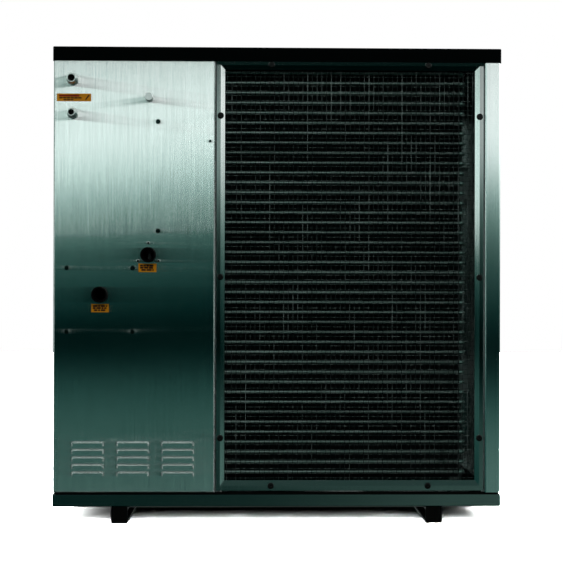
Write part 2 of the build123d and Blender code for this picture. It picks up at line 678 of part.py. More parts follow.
def fan_guard(fan):
    """Wire guard: rings on radial spokes, standing off the panel on four legs."""
    centre = Vector(FAN_X, BACK + PROUD - 5, FAN_Z[fan])
    plane = Plane(origin=centre, z_dir=(0, 1, 0))
    guard = rod((FAN_X, BACK + PROUD - 7, FAN_Z[fan]), "Y", 34, 5)
    rings = [plane.location * Torus(radius, 1.8) for radius in range(64, int(GUARD_RADIUS) - 10, 30)]
    rings.append(plane.location * Torus(GUARD_RADIUS, 1.8))
    spokes = []
    for i in range(8):
        turn = Rot(0, 22.5 + i * 45, 0)
        bar = rod((20, 0, 0), "X", 2.0, GUARD_RADIUS - 18)
        spokes.append(Pos(FAN_X, BACK + PROUD - 2, FAN_Z[fan]) * turn * bar)
    guard = guard + rings + spokes
    for x, z in guard_bolt_places(fan):
        guard += rod((x, BACK, z), "Y", 7.0, PROUD - 4)
        guard -= rod((x, BACK - 1, z), "Y", 3.3, PROUD)
    return guard


# Water side ------------------------------------------------------------------------------------

SWITCH_Y = FRONT + 34.0
PADDLE_PIVOT_Z = OUTLET_Z + 13.0


def exchanger_outline(radius, low, high):
    """Upright cylinder on the exchanger's axis."""
    return rod((EXCHANGER_X, EXCHANGER_Y, low), "Z", radius, high - low)


def exchanger_shell():
    """Water jacket round the refrigerant coil, with a port for each water pipe."""
    shell = exchanger_outline(EXCHANGER_RADIUS, EXCHANGER_BOTTOM, EXCHANGER_TOP)
    shell -= exchanger_outline(EXCHANGER_RADIUS - EXCHANGER_WALL, EXCHANGER_BOTTOM + 8, EXCHANGER_TOP - 8)
    for x, z, radius in ((INLET_X, INLET_Z, INLET_RADIUS), (OUTLET_X, OUTLET_Z, OUTLET_RADIUS)):
        reach = EXCHANGER_RADIUS
        shell -= rod((x, EXCHANGER_Y - reach, z), "Y", radius - PIPE_WALL - SOCKET_STEP, reach)
    return shell


def exchanger_coil():
    """Titanium tube wound on the exchanger's axis."""
    radius, tube_radius, pitch = 66.0, 8.0, 26.0
    low, turns = EXCHANGER_BOTTOM + 60, 14
    path = Helix(pitch, turns * pitch, radius)
    ring = Circle(tube_radius) - Circle(tube_radius - 1.0)
    coil = sweep(Plane(origin=path @ 0, z_dir=path % 0) * ring, path, is_frenet=True)
    return Pos(EXCHANGER_X, EXCHANGER_Y, low) * coil


def water_pipe(x, z, radius):
    """Pipe from the exchanger out through the service panel, ending in a socket."""
    start = FRONT - PIPE_PROUD
    pipe = rod((x, start, z), "Y", radius, EXCHANGER_Y - start)
    lip = pipe.faces().sort_by(Axis.Y)[0].edges()
    pipe = chamfer(lip, 0.8)
    pipe -= exchanger_outline(EXCHANGER_RADIUS, z - 60, z + 60)
    pipe -= rod((x, start, z), "Y", radius - PIPE_WALL, SOCKET_DEPTH)
    return pipe - rod((x, start, z), "Y", radius - PIPE_WALL - SOCKET_STEP, EXCHANGER_Y - start)


def water_inlet():
    """Lower water connection."""
    return water_pipe(INLET_X, INLET_Z, INLET_RADIUS)


def water_outlet():
    """Upper water connection, with the flow switch port on top."""
    pipe = water_pipe(OUTLET_X, OUTLET_Z, OUTLET_RADIUS)
    return pipe - rod((OUTLET_X, SWITCH_Y, OUTLET_Z), "Z", 8.0, 30)


def flow_switch():
    """Switch body on the outlet pipe, with two ears for the paddle's pin."""
    body = block(
        (OUTLET_X - 16, SWITCH_Y - 16, OUTLET_Z + OUTLET_RADIUS + 3),
        (OUTLET_X + 16, SWITCH_Y + 16, OUTLET_Z + OUTLET_RADIUS + 48),
    )
    body += rod((OUTLET_X, SWITCH_Y, OUTLET_Z + 17), "Z", 7.6, 12)
    for side in (-1, 1):
        body += block(
            (OUTLET_X + side * 5.4 - 1.2, SWITCH_Y - 3, PADDLE_PIVOT_Z - 3),
            (OUTLET_X + side * 5.4 + 1.2, SWITCH_Y + 3, OUTLET_Z + 18),
        )
    return body - rod((OUTLET_X - 8, SWITCH_Y, PADDLE_PIVOT_Z), "X", 1.05, 16)


def flow_paddle():
    """Paddle that hangs in the water and swings on its own pin."""
    pin = rod((OUTLET_X - 6.4, SWITCH_Y, PADDLE_PIVOT_Z), "X", 1.0, 12.8)
    blade = block(
        (OUTLET_X - 3.8, SWITCH_Y - 0.6, OUTLET_Z - 10), (OUTLET_X + 3.8, SWITCH_Y + 0.6, PADDLE_PIVOT_Z)
    )
    return pin + blade


# Fittings on the service panel -----------------------------------------------------------------


def cable_glands():
    """Two glands: threaded body with a hexagon, and a domed clamping nut."""
    pieces = []
    for z, radius, bore in GLANDS:
        hexagon = extrude(RegularPolygon(radius * 0.95, 6, major_radius=False), 7)
        foot = Plane(origin=(GLAND_X, FRONT, z), z_dir=(0, -1, 0)).location * hexagon
        body = foot + rod((GLAND_X, FRONT - 22, z), "Y", radius - 4, 32)
        body -= rod((GLAND_X, FRONT - 23, z), "Y", bore, 40)
        crown = Plane(origin=(GLAND_X, FRONT - GLAND_COLLAR, z), z_dir=(0, -1, 0)).location
        nut = rod((GLAND_X, FRONT - GLAND_COLLAR, z), "Y", radius, GLAND_COLLAR - 9)
        nut += crown * Cone(radius, bore + GLAND_RIM, PROUD - GLAND_COLLAR, align=ON_END)
        nut = fillet(nut.faces().sort_by(Axis.Y)[0].edges(), 0.8)
        nut -= rod((GLAND_X, FRONT - 22, z), "Y", radius - 4, 20)
        nut -= rod((GLAND_X, FRONT - PROUD - 1, z), "Y", bore, 40)
        lock = rod((GLAND_X, FRONT + SHEET, z), "Y", radius, 5)
        lock -= rod((GLAND_X, FRONT, z), "Y", radius - 4, 20)
        pieces += [body, nut, lock]
    return pieces


def service_port():
    """Pressure port: threaded body through the panel, lock nut and knurled cap."""
    body = rod((PORT_X, FRONT - 30, PORT_Z), "Y", 7.0, 44) + rod((PORT_X, FRONT - 6, PORT_Z), "Y", 9.5, 6)
    nut = rod((PORT_X, FRONT + SHEET, PORT_Z), "Y", 10, 5) - rod((PORT_X, FRONT, PORT_Z), "Y", 7.0, 10)
    cap = rod((PORT_X, FRONT - 38, PORT_Z), "Y", 10.0, 16)
    cap = fillet(cap.faces().sort_by(Axis.Y)[0].edges(), 1.2)
    cap -= rod((PORT_X, FRONT - 30, PORT_Z), "Y", 7.0, 20)
    return [body, nut, cap]


def labels():
    """Adhesive plates beside the fittings."""
    plates = []
    for x, z, width, height in LABELS:
        low = (x - width / 2, FRONT - LABEL_THICK, z - height / 2)
        plates.append(block(low, (x + width / 2, FRONT, z + height / 2)))
    return plates


def hex_bolts():
    """All flanged hex bolts: service panel, fan guards and foot rails."""
    bolts = [hex_bolt(x, z) for x, z in panel_bolt_places()]
    for fan in FAN_NAMES:
        for x, z in guard_bolt_places(fan):
            bolt = hex_bolt(-x, z, face=-(BACK + PROUD - 4), length=50, head=3.9)
            bolts.append(turned(bolt))
    for x in (-RAIL_X, RAIL_X):
        for y in (-RAIL_BOLT_Y, RAIL_BOLT_Y):
            upright = Rot(-90, 0, 0) * hex_bolt(0, 0, face=0)
            bolts.append(Pos(x, y, PAN_FLOOR) * upright)
    return bolts


def small_screws():
    """All pan-head screws: connection flange, side, fan and control panels."""
    screws = [pan_screw(x, z) for x, z in flange_screw_places()]
    for low_x, high_x in ((LEFT, SEAM_X), (FRAME_LEFT, RIGHT)):
        for x, z in back_screw_places(low_x, high_x):
            screws.append(turned(pan_screw(-x, z)))
    for side in (-1, 1):
        for y, z in side_screw_places(side):
            screw = Rot(0, 0, side * 90) * pan_screw(0, z, face=-RIGHT)
            screws.append(Pos(0, y, 0) * screw)
    return screws


# Refrigerant side ------------------------------------------------------------------------------


def compressor_shell():
    """Welded steel can with a foot plate."""
    centre = (COMPRESSOR_X, COMPRESSOR_Y)
    can = rod((*centre, COMPRESSOR_BASE), "Z", COMPRESSOR_RADIUS, COMPRESSOR_TOP - COMPRESSOR_BASE)
    can = fillet(can.faces().sort_by(Axis.Z)[-1].edges(), 40)
    hollow_top = COMPRESSOR_TOP - 44
    can -= rod((*centre, COMPRESSOR_BASE + 8), "Z", COMPRESSOR_RADIUS - 4, hollow_top - COMPRESSOR_BASE - 8)
    foot = Pos(*centre, COMPRESSOR_BASE) * Box(220, 220, 5, align=ON_END)
    foot = fillet(foot.edges().filter_by(Axis.Z), 30)
    shell = can + foot
    for x, y in mount_places():
        shell -= rod((x, y, COMPRESSOR_BASE - 1), "Z", 6, 10)
    return shell


def mount_places():
    """Centres of the compressor's four rubber mounts."""
    reach = 92.0
    return [(COMPRESSOR_X + a * reach, COMPRESSOR_Y + b * reach) for a in (-1, 1) for b in (-1, 1)]


def compressor_core():
    """Motor and scroll set inside the can, as one sealed piece."""
    low = COMPRESSOR_BASE + 8
    core = rod((COMPRESSOR_X, COMPRESSOR_Y, low), "Z", COMPRESSOR_RADIUS - 4.2, 190)
    return core + rod((COMPRESSOR_X, COMPRESSOR_Y, low + 190), "Z", 40, 90)


def compressor_mounts():
    """Rubber feet between the pan and the compressor's foot plate."""
    feet = []
    for x, y in mount_places():
        foot = rod((x, y, PAN_FLOOR), "Z", 16, COMPRESSOR_BASE - PAN_FLOOR)
        feet.append(foot - rod((x, y, PAN_FLOOR - 1), "Z", 4.5, 60))
    return feet


def accumulator():
    """Suction accumulator, standing on a short leg."""
    centre = (ACCUMULATOR_X, ACCUMULATOR_Y)
    can = rod((*centre, PAN_FLOOR + 36), "Z", ACCUMULATOR_RADIUS, 260)
    can = fillet(can.edges(), 18)
    can -= rod((*centre, PAN_FLOOR + 56), "Z", ACCUMULATOR_RADIUS - 3, 220)
    return can + tube((*centre, PAN_FLOOR), "Z", 20, 3, 38)


def reversing_valve():
    """Four-way valve body with one port above and three below."""
    left = ACCUMULATOR_X - 60
    body = rod((left, ACCUMULATOR_Y, VALVE_Z), "X", VALVE_RADIUS, 120)
    body = fillet(body.edges(), 6)
    ports = [rod((ACCUMULATOR_X, ACCUMULATOR_Y, VALVE_Z), "Z", LINE_RADIUS + 2, 30)]
    for shift in (-35, 0, 35):
        ports.append(rod((ACCUMULATOR_X + shift, ACCUMULATOR_Y, VALVE_Z - 30), "Z", LINE_RADIUS + 2, 30))
    return body + ports


def refrigerant_pipes():
    """Copper lines between the refrigerant pieces."""
    y = ACCUMULATOR_Y
    accumulator_top = PAN_FLOOR + 296
    port_z = VALVE_Z - 30
    compressor_side = COMPRESSOR_X + COMPRESSOR_RADIUS
    discharge = [
        (COMPRESSOR_X, y, COMPRESSOR_TOP),
        (COMPRESSOR_X, y, 720),
        (ACCUMULATOR_X, y, 720),
        (ACCUMULATOR_X, y, VALVE_Z + 30),
    ]
    suction = [(ACCUMULATOR_X, y, port_z), (ACCUMULATOR_X, y, accumulator_top)]
    return_x = ACCUMULATOR_X - 26
    intake = [
        (return_x, y, accumulator_top),
        (return_x, y, accumulator_top + 60),
        (compressor_side, y, accumulator_top + 60),
    ]
    gas = [
        (ACCUMULATOR_X + 35, y, port_z),
        (ACCUMULATOR_X + 35, y, 550),
        (SUCTION_X, y, 550),
        (SUCTION_X, BACK_ROW_Y + 11, 550),
    ]
    water_side = [
        (ACCUMULATOR_X - 35, y, port_z),
        (ACCUMULATOR_X - 35, y, 550),
        (ACCUMULATOR_X - 35, EXCHANGER_Y, 550),
    ]
    liquid_in = [(EXCHANGER_X, EXCHANGER_Y, 540), (VALVE_BLOCK_X - 15, EXCHANGER_Y, 540)]
    liquid_out = [
        (VALVE_BLOCK_X + 15, EXCHANGER_Y, 540),
        (LIQUID_X, EXCHANGER_Y, 540),
        (LIQUID_X, FRONT_ROW_Y + LINE_RADIUS, 540),
    ]
    jacket = exchanger_outline(EXCHANGER_RADIUS, EXCHANGER_BOTTOM, EXCHANGER_TOP)
    straight = rod(suction[1], "Z", LINE_RADIUS, port_z - accumulator_top)
    pipes = [straight - rod(suction[1], "Z", LINE_RADIUS - 1, port_z - accumulator_top)]
    for points, bend in ((discharge, 40), (intake, 16), (gas, 18), (water_side, 18)):
        pipes.append(bent_pipe(points, LINE_RADIUS, 1.0, bend) - jacket)
    feed = tube(liquid_in[0], "X", 6, 1, liquid_in[1][0] - liquid_in[0][0]) - jacket
    return pipes + [feed, bent_pipe(liquid_out, 6, 1.0, 15)]


VALVE_BLOCK_X = -265.0


def expansion_valve():
    """Expansion valve block with its actuator on top."""
    body = block((VALVE_BLOCK_X - 15, EXCHANGER_Y - 12, 526), (VALVE_BLOCK_X + 15, EXCHANGER_Y + 12, 554))
    body += rod((VALVE_BLOCK_X, EXCHANGER_Y, 554), "Z", 7, 14)
    return body + rod((VALVE_BLOCK_X, EXCHANGER_Y, 568), "Z", 18, 22)


# Electrical side -------------------------------------------------------------------------------

CONTACTOR_X, CONTACTOR_Z = -470.0, 980.0


def electrical_box():
    """Tray for the electrical gear, open towards the control panel."""
    outer = block((BOX_LEFT, BOX_FRONT, BOX_BOTTOM), (BOX_RIGHT, BOX_BACK, BOX_TOP))
    inner = block(
        (BOX_LEFT + SHEET, BOX_FRONT + SHEET, BOX_BOTTOM + SHEET),
        (BOX_RIGHT - SHEET, BOX_BACK + 1, BOX_TOP - SHEET),
    )
    box = outer - inner
    for x in (-500, -440):
        box -= rod((x, BOX_FRONT - 1, BOX_TOP - 40), "Y", 12, 4)
    return box


def contactor():
    """Contactor body with a guide slot for its armature."""
    low_y = BOX_FRONT + SHEET
    body = block((CONTACTOR_X - 25, low_y, CONTACTOR_Z - 40), (CONTACTOR_X + 25, low_y + 60, CONTACTOR_Z + 40))
    slot = block(
        (CONTACTOR_X - 12.3, low_y + 30, CONTACTOR_Z - 15.3), (CONTACTOR_X + 12.3, low_y + 61, CONTACTOR_Z + 15.3)
    )
    return body - slot


def contactor_armature():
    """Sliding carrier that closes the contacts."""
    low_y = BOX_FRONT + SHEET
    return block(
        (CONTACTOR_X - 12, low_y + 36, CONTACTOR_Z - 15), (CONTACTOR_X + 12, low_y + 63, CONTACTOR_Z + 15)
    )


def capacitor():
    """Run capacitor can with its terminals."""
    low_y = BOX_FRONT + SHEET
    can = rod((-400, low_y, 930), "Y", 20, 85)
    can = fillet(can.faces().sort_by(Axis.Y)[-1].edges(), 3)
    for x in (-407, -393):
        can += block((x - 3, low_y + 84, 929.5), (x + 3, low_y + 93, 930.5))
    return can


# Controller ------------------------------------------------------------------------------------

CONTROL_FRONT = BACK + CONTROL_D
BUTTON_Z = CONTROL_Z - 24.0
HINGE_Z = CONTROL_Z + CONTROL_H / 2 + 5.0
HINGE_Y = CONTROL_FRONT + 4.5
SCREEN_W, SCREEN_H = 84.0, 34.0
SCREEN_Z = CONTROL_Z + 14.0


def controller_housing():
    """Moulded housing with a screen window, button holes and hinge ears."""
    low = (CONTROL_X - CONTROL_W / 2, BACK, CONTROL_Z - CONTROL_H / 2)
    high = (CONTROL_X + CONTROL_W / 2, CONTROL_FRONT, CONTROL_Z + CONTROL_H / 2)
    shell = fillet(block(low, high).edges().filter_by(Axis.Y), 6)
    hollow = block((low[0] + 3, low[1] - 1, low[2] + 3), (high[0] - 3, high[1] - 3, high[2] - 3))
    shell -= hollow
    window = (CONTROL_X - SCREEN_W / 2, BACK, SCREEN_Z - SCREEN_H / 2)
    shell -= block(window, (CONTROL_X + SCREEN_W / 2, CONTROL_FRONT + 1, SCREEN_Z + SCREEN_H / 2))
    for shift in BUTTONS.values():
        shell -= rod((CONTROL_X + shift, BACK, BUTTON_Z), "Y", BUTTON_RADIUS + 0.3, 40)
    for side in (-1, 1):
        x = CONTROL_X + side * (CONTROL_W / 2 - 12)
        ear = block((x - 3, CONTROL_FRONT - 8, high[2] - 6), (x + 3, HINGE_Y + 3, HINGE_Z + 3))
        shell += ear + rod((x - 9, HINGE_Y, HINGE_Z), "X", 1.5, 18)
    return shell


def controller_display():
    """Screen behind the window."""
    edge = 2.0
    return block(
        (CONTROL_X - SCREEN_W / 2 - edge, CONTROL_FRONT - 7, SCREEN_Z - SCREEN_H / 2 - edge),
        (CONTROL_X + SCREEN_W / 2 + edge, CONTROL_FRONT - 3, SCREEN_Z + SCREEN_H / 2 + edge),
    )


def controller_cover():
    """Clear weather flap, hinged along its upper edge."""
    low_x, high_x = CONTROL_X - CONTROL_W / 2 - 2, CONTROL_X + CONTROL_W / 2 + 2
    sheet = block((low_x, HINGE_Y - 1.5, CONTROL_Z - CONTROL_H / 2 - 2), (high_x, HINGE_Y + 1.5, HINGE_Z))
    for side in (-1, 1):
        x = CONTROL_X + side * (CONTROL_W / 2 - 12)
        sheet -= block((x - 9.5, HINGE_Y - 5, HINGE_Z - 12), (x + 9.5, HINGE_Y + 5, HINGE_Z + 5))
        for knuckle in (-6.5, 6.5):
            start = (x + knuckle - 2.5, HINGE_Y, HINGE_Z)
            sheet += block(
                (x + knuckle - 2.5, HINGE_Y - 1.5, HINGE_Z - 13), (x + knuckle + 2.5, HINGE_Y + 1.5, HINGE_Z)
            )
            sheet += rod(start, "X", 3.0, 5.0)
            sheet -= rod(start, "X", 1.55, 5.0)
    return sheet


def button(name):
    """Push button with a retaining flange behind the housing's face."""
    x = CONTROL_X + BUTTONS[name]
    cap = rod((x, CONTROL_FRONT - 4, BUTTON_Z), "Y", BUTTON_RADIUS, 5.5)
    cap = fillet(cap.faces().sort_by(Axis.Y)[-1].edges(), 0.8)
    return cap + rod((x, CONTROL_FRONT - 5.5, BUTTON_Z), "Y", BUTTON_RADIUS + 1.5, 2.3)


def solids_of(made):
    """A part or a list of parts as one compound of separate solids."""
    pieces = made if isinstance(made, (list, tuple)) else [made]
    solids = [solid for piece in pieces for solid in piece.solids()]
    return solids[0] if len(solids) == 1 else Compound(children=solids)


def all_parts():
    """Every node's name with its shape."""
    parts = {
        "base_pan": base_pan(),
        "base_seal": base_seal(),
        "foot_rail_left": foot_rail(-1),
        "foot_rail_right": foot_rail(1),
        "foot_end_caps": foot_end_caps(),
        "corner_posts": corner_posts(),
        "top_cover": top_cover(),
        "service_panel": service_panel(),
        "side_panel_left": side_panel_left(),
        "side_panel_right": side_panel_right(),
        "fan_panel": fan_panel(),
        "control_panel": control_panel(),
        "divider_panel": divider_panel(),
        "guard_frame": guard_frame(),
        "wire_guard": wire_guard(),
        "guard_screws": guard_screws(),
        "hex_bolts": hex_bolts(),
        "small_screws": small_screws(),
        "coil_fins": coil_fins(),
        "coil_tubes": coil_tubes(),
        "coil_return_bends": coil_return_bends(),
        "coil_end_plates": coil_end_plates(),
        "suction_header": suction_header(),
        "liquid_header": liquid_header(),
        "compressor_shell": compressor_shell(),
        "compressor_core": compressor_core(),
        "compressor_mounts": compressor_mounts(),
        "accumulator": accumulator(),
        "reversing_valve": reversing_valve(),
        "expansion_valve": expansion_valve(),
        "refrigerant_pipes": refrigerant_pipes(),
        "service_port": service_port(),
        "exchanger_shell": exchanger_shell(),
        "exchanger_coil": exchanger_coil(),
        "water_inlet": water_inlet(),
        "water_outlet": water_outlet(),
        "flow_switch": flow_switch(),
        "flow_paddle": flow_paddle(),
        "electrical_box": electrical_box(),
        "contactor": contactor(),
        "contactor_armature": contactor_armature(),
        "capacitor": capacitor(),
        "cable_glands": cable_glands(),
        "controller_housing": controller_housing(),
        "controller_display": controller_display(),
        "controller_cover": controller_cover(),
        "labels": labels(),
    }
    for name in BUTTONS:
        parts[name] = button(name)
    for fan in FAN_NAMES:
        parts[f"fan_guard_{fan}"] = fan_guard(fan)
        parts[f"fan_motor_{fan}"] = fan_motor(fan)
        parts[f"fan_rotor_{fan}"] = fan_rotor(fan)
        parts[f"fan_shaft_{fan}"] = fan_shaft(fan)
        parts[f"fan_bracket_{fan}"] = fan_bracket(fan)
    return parts


os.makedirs("parts", exist_ok=True)
for node, shape in all_parts().items():
    export_step(solids_of(shape), f"parts/{node}.step")
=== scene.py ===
"""The looks of a pool and spa heat pump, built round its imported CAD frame, in metres with +Z up."""

import json
import math
import random

import bpy
from mathutils import Matrix, Vector


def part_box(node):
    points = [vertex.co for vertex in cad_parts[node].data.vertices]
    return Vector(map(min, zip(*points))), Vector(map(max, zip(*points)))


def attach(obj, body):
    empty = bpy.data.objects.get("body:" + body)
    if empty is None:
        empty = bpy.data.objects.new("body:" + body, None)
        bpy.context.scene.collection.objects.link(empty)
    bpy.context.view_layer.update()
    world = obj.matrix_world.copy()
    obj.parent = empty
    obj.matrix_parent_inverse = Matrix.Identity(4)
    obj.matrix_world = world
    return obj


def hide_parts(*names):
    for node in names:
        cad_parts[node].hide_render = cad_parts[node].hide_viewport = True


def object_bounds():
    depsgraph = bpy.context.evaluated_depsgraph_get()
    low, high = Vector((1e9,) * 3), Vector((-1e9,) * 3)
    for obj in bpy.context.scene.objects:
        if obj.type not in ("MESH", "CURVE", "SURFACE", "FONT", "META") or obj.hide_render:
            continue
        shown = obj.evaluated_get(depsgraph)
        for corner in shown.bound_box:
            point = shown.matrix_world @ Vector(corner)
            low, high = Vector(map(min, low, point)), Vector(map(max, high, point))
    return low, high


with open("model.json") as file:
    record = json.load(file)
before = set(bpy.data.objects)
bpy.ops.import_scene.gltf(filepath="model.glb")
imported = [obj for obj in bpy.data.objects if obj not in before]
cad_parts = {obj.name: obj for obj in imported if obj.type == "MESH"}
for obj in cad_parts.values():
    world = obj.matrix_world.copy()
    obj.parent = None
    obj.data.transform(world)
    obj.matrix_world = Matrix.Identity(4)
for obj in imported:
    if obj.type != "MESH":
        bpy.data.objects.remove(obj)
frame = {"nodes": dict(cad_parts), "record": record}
cad_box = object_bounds()
nodes = frame["nodes"]

MM = 0.001
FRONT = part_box("corner_posts")[0].y
random.seed(11)


def linear(red, green, blue):
    """A display colour, 0 to 255, as the linear colour that the shaders take."""
    scaled = [channel / 255 for channel in (red, green, blue)]
    return tuple(c / 12.92 if c <= 0.04045 else ((c + 0.055) / 1.055) ** 2.4 for c in scaled) + (1.0,)


# --------------------------------------------------------------------------------------------------
# Camera, studio and light

CAMERA_DISTANCE = 3.3
CAMERA_X = -0.0588
CAMERA_Z = 0.5823
CAMERA_YAW = math.radians(1.201)
CAMERA_PITCH = math.radians(0.216)
CAMERA_ROLL = math.radians(0.133)
CAMERA_LENS = 81.58


def make_camera():
    """An almost level camera a little left of the middle, turned slightly to the right."""
    forward = Vector((
        math.sin(CAMERA_YAW) * math.cos(CAMERA_PITCH),
        math.cos(CAMERA_YAW) * math.cos(CAMERA_PITCH),
        math.sin(CAMERA_PITCH),
    ))
    level = Vector((math.cos(CAMERA_YAW), -math.sin(CAMERA_YAW), 0.0))
    upright = level.cross(forward)
    right = math.cos(CAMERA_ROLL) * level + math.sin(CAMERA_ROLL) * upright
    up = right.cross(forward)
    data = bpy.data.cameras.new("camera")
    data.lens = CAMERA_LENS
    data.sensor_width = 36.0
    data.clip_end = 100.0
    camera = bpy.data.objects.new("camera", data)
    camera.matrix_world = Matrix((
        (right.x, up.x, -forward.x, CAMERA_X),
        (right.y, up.y, -forward.y, FRONT - CAMERA_DISTANCE),
        (right.z, up.z, -forward.z, CAMERA_Z),
        (0.0, 0.0, 0.0, 1.0),
    ))
    bpy.context.scene.collection.objects.link(camera)
    bpy.context.scene.camera = camera


# What the steel mirrors at each height above the level, as (degrees, display level from 0 to 255): a
# bright upper room, a dark band at eye level and a dim floor. It differs to the left, ahead and right,
# and a plainer room stands behind the unit.
SKY_LOW, SKY_HIGH = -20.0, 44.0
SKY_LEFT = [
    (-18, 10), (-11, 38), (-8.6, 36), (-6, 56), (-4.7, 70), (-3.7, 54), (-2.8, 20), (-1.8, 0),
    (-1, 18), (0, 42), (1.4, 64), (2.7, 88), (4.2, 160), (5.6, 180), (7.1, 176), (8.6, 146),
    (10, 96), (12, 84), (15, 190), (20, 226), (36, 64),
]
SKY_AHEAD = [
    (-18, 8), (-11, 22), (-8.6, 46), (-6, 50), (-4.7, 64), (-3.7, 42), (-2.8, 0), (-1, 0), (0, 0),
    (1.4, 0), (2.7, 0), (4.2, 62), (5.6, 144), (7.1, 154), (8.6, 124), (10, 54), (12, 40),
    (15, 180), (20, 220), (36, 64),
]
SKY_RIGHT = [
    (-18, 10), (-11, 106), (-8.6, 114), (-6.5, 92), (-5.6, 80), (-4.7, 44), (-3.8, 14), (-2.5, 0),
    (-1.2, 28), (0, 50), (1.4, 70), (2.7, 98), (4.2, 140), (5.4, 208), (6.4, 232), (8, 238),
    (10, 230), (20, 226), (36, 64),
]
SKY_BEHIND = [(-18, 84), (-6, 104), (4, 122), (20, 150), (36, 140)]

# Turns from straight ahead, in degrees and positive to the right, over which one sky gives way to the next.
LEFT_SIDE = (-1.0, -13.0)
RIGHT_SIDE = (2.5, 9.5)
BEHIND_SIDE = (100.0, 130.0)

# How much green and blue the room has over red, in display levels.
TEAL_CAST = 30
BEHIND_CAST = 8
CAST_FADE = 90
BLUE_CAST = 0.22

# The mirrored room's strength, and how it grows to the left and to both sides.
SKY_STRENGTH = 1.35
LEFT_TURN = (10.0, -40.0)
LEFT_GAIN = 1.3
FAR_TURN = (20.0, 55.0)
FAR_GAIN = 1.9

# The soft light on dull surfaces: its strength overhead, the span of a direction's upward part over which
# it grows to that, and the span of its sideways part over which it fades out.
SOFT_LIGHT = 1.8
SOFT_UPWARD = (0.17, 0.5)
SOFT_SIDEWAYS = (0.25, 0.75)
SOFT_COLOUR = (0.97, 1.0, 0.99, 1.0)

KEY_POWER = 5.0
KEY_SIZE = (1.0, 1.2)
KEY_COLOUR = (0.96, 1.0, 0.98)
KEY_PLACE = Vector((-3.2, FRONT - 1.7, 1.45))
KEY_AIM = Vector((-0.2, FRONT, 0.8))

# The floor is far whiter than white, so that it stays white up to the shadow under the base pan.
FLOOR_HALF = 9.0
FLOOR_GAIN = 48.0


def add_node(tree, kind, inputs=None, **settings):
    """A node with its settings, and its inputs linked to a socket or set to a value."""
    made = tree.nodes.new("ShaderNode" + kind)
    for key, value in settings.items():
        setattr(made, key, value)
    for socket, value in (inputs or {}).items():
        if isinstance(value, bpy.types.NodeSocket):
            tree.links.new(value, made.inputs[socket])
        else:
            made.inputs[socket].default_value = value
    return made


def fill_ramp(ramp, stops):
    """Sets a colour ramp to stops of (place, colour)."""
    elements = ramp.color_ramp.elements
    while len(elements) < len(stops):
        elements.new(1.0)
    for element, (place, colour) in zip(elements, stops):
        element.position = place
        element.color = colour


def room_colour(level, teal):
    """A display level with the studio's teal cast, which fades out towards white."""
    cast = teal * min(1.0, (255 - level) / CAST_FADE)
    blue_cast = cast * BLUE_CAST * min(1.0, level / CAST_FADE)
    return linear(max(0.0, level - cast), level, max(0.0, level - blue_cast))


def sky_ramp(tree, height, stops, teal=TEAL_CAST):
    """The colours of the room by height."""
    ramp = add_node(tree, "ValToRGB", {"Fac": height})
    ramp.color_ramp.interpolation = "B_SPLINE"
    span = SKY_HIGH - SKY_LOW
    fill_ramp(ramp, [((degrees - SKY_LOW) / span, room_colour(level, teal)) for degrees, level in stops])
    return ramp.outputs["Color"]


def math_node(tree, operation, first, second=0.0):
    """The result of a sum on two sockets or values."""
    return add_node(tree, "Math", {0: first, 1: second}, operation=operation).outputs[0]


def mix_colours(tree, share, first, second):
    """The first colour giving way to the second as share goes from 0 to 1."""
    mixed = add_node(tree, "Mix", data_type="RGBA")
    for place, socket in ((0, share), (6, first), (7, second)):
        tree.links.new(socket, mixed.inputs[place])
    return mixed.outputs[2]


def turn_share(tree, turn, near, far):
    """A span of turns, in degrees, carried smoothly to 0 to 1."""
    return add_node(tree, "MapRange", {
        "Value": turn, "From Min": math.radians(near), "From Max": math.radians(far),
    }, interpolation_type="SMOOTHSTEP").outputs[0]


def turn_gain(tree, turn, span, low, high):
    """A span of turns, in degrees, carried to low to high."""
    return add_node(tree, "MapRange", {
        "Value": turn, "From Min": math.radians(span[0]), "From Max": math.radians(span[1]),
        "To Min": low, "To Max": high,
    }).outputs[0]


def mirrored_room(tree, axes):
    """The graded room that the steel mirrors, as a background."""
    elevation = math_node(tree, "ARCSINE", axes["Z"])
    height = add_node(tree, "MapRange", {
        "Value": elevation, "From Min": math.radians(SKY_LOW), "From Max": math.radians(SKY_HIGH),
    }).outputs[0]
    turned = math_node(tree, "ARCTAN2", axes["X"], math_node(tree, "MULTIPLY", axes["Y"], -1.0))
    around = math_node(tree, "ABSOLUTE", turned)
    room = sky_ramp(tree, height, SKY_AHEAD)
    for (near, far), stops in ((LEFT_SIDE, SKY_LEFT), (RIGHT_SIDE, SKY_RIGHT)):
        room = mix_colours(tree, turn_share(tree, turned, near, far), room, sky_ramp(tree, height, stops))
    behind = sky_ramp(tree, height, SKY_BEHIND, BEHIND_CAST)
    room = mix_colours(tree, turn_share(tree, around, *BEHIND_SIDE), room, behind)
    leftward = turn_gain(tree, turned, LEFT_TURN, SKY_STRENGTH, SKY_STRENGTH * LEFT_GAIN)
    sideways = turn_gain(tree, around, FAR_TURN, 1.0, FAR_GAIN)
    gain = math_node(tree, "MULTIPLY", leftward, sideways)
    return add_node(tree, "Background", {"Color": room, "Strength": gain}).outputs[0]


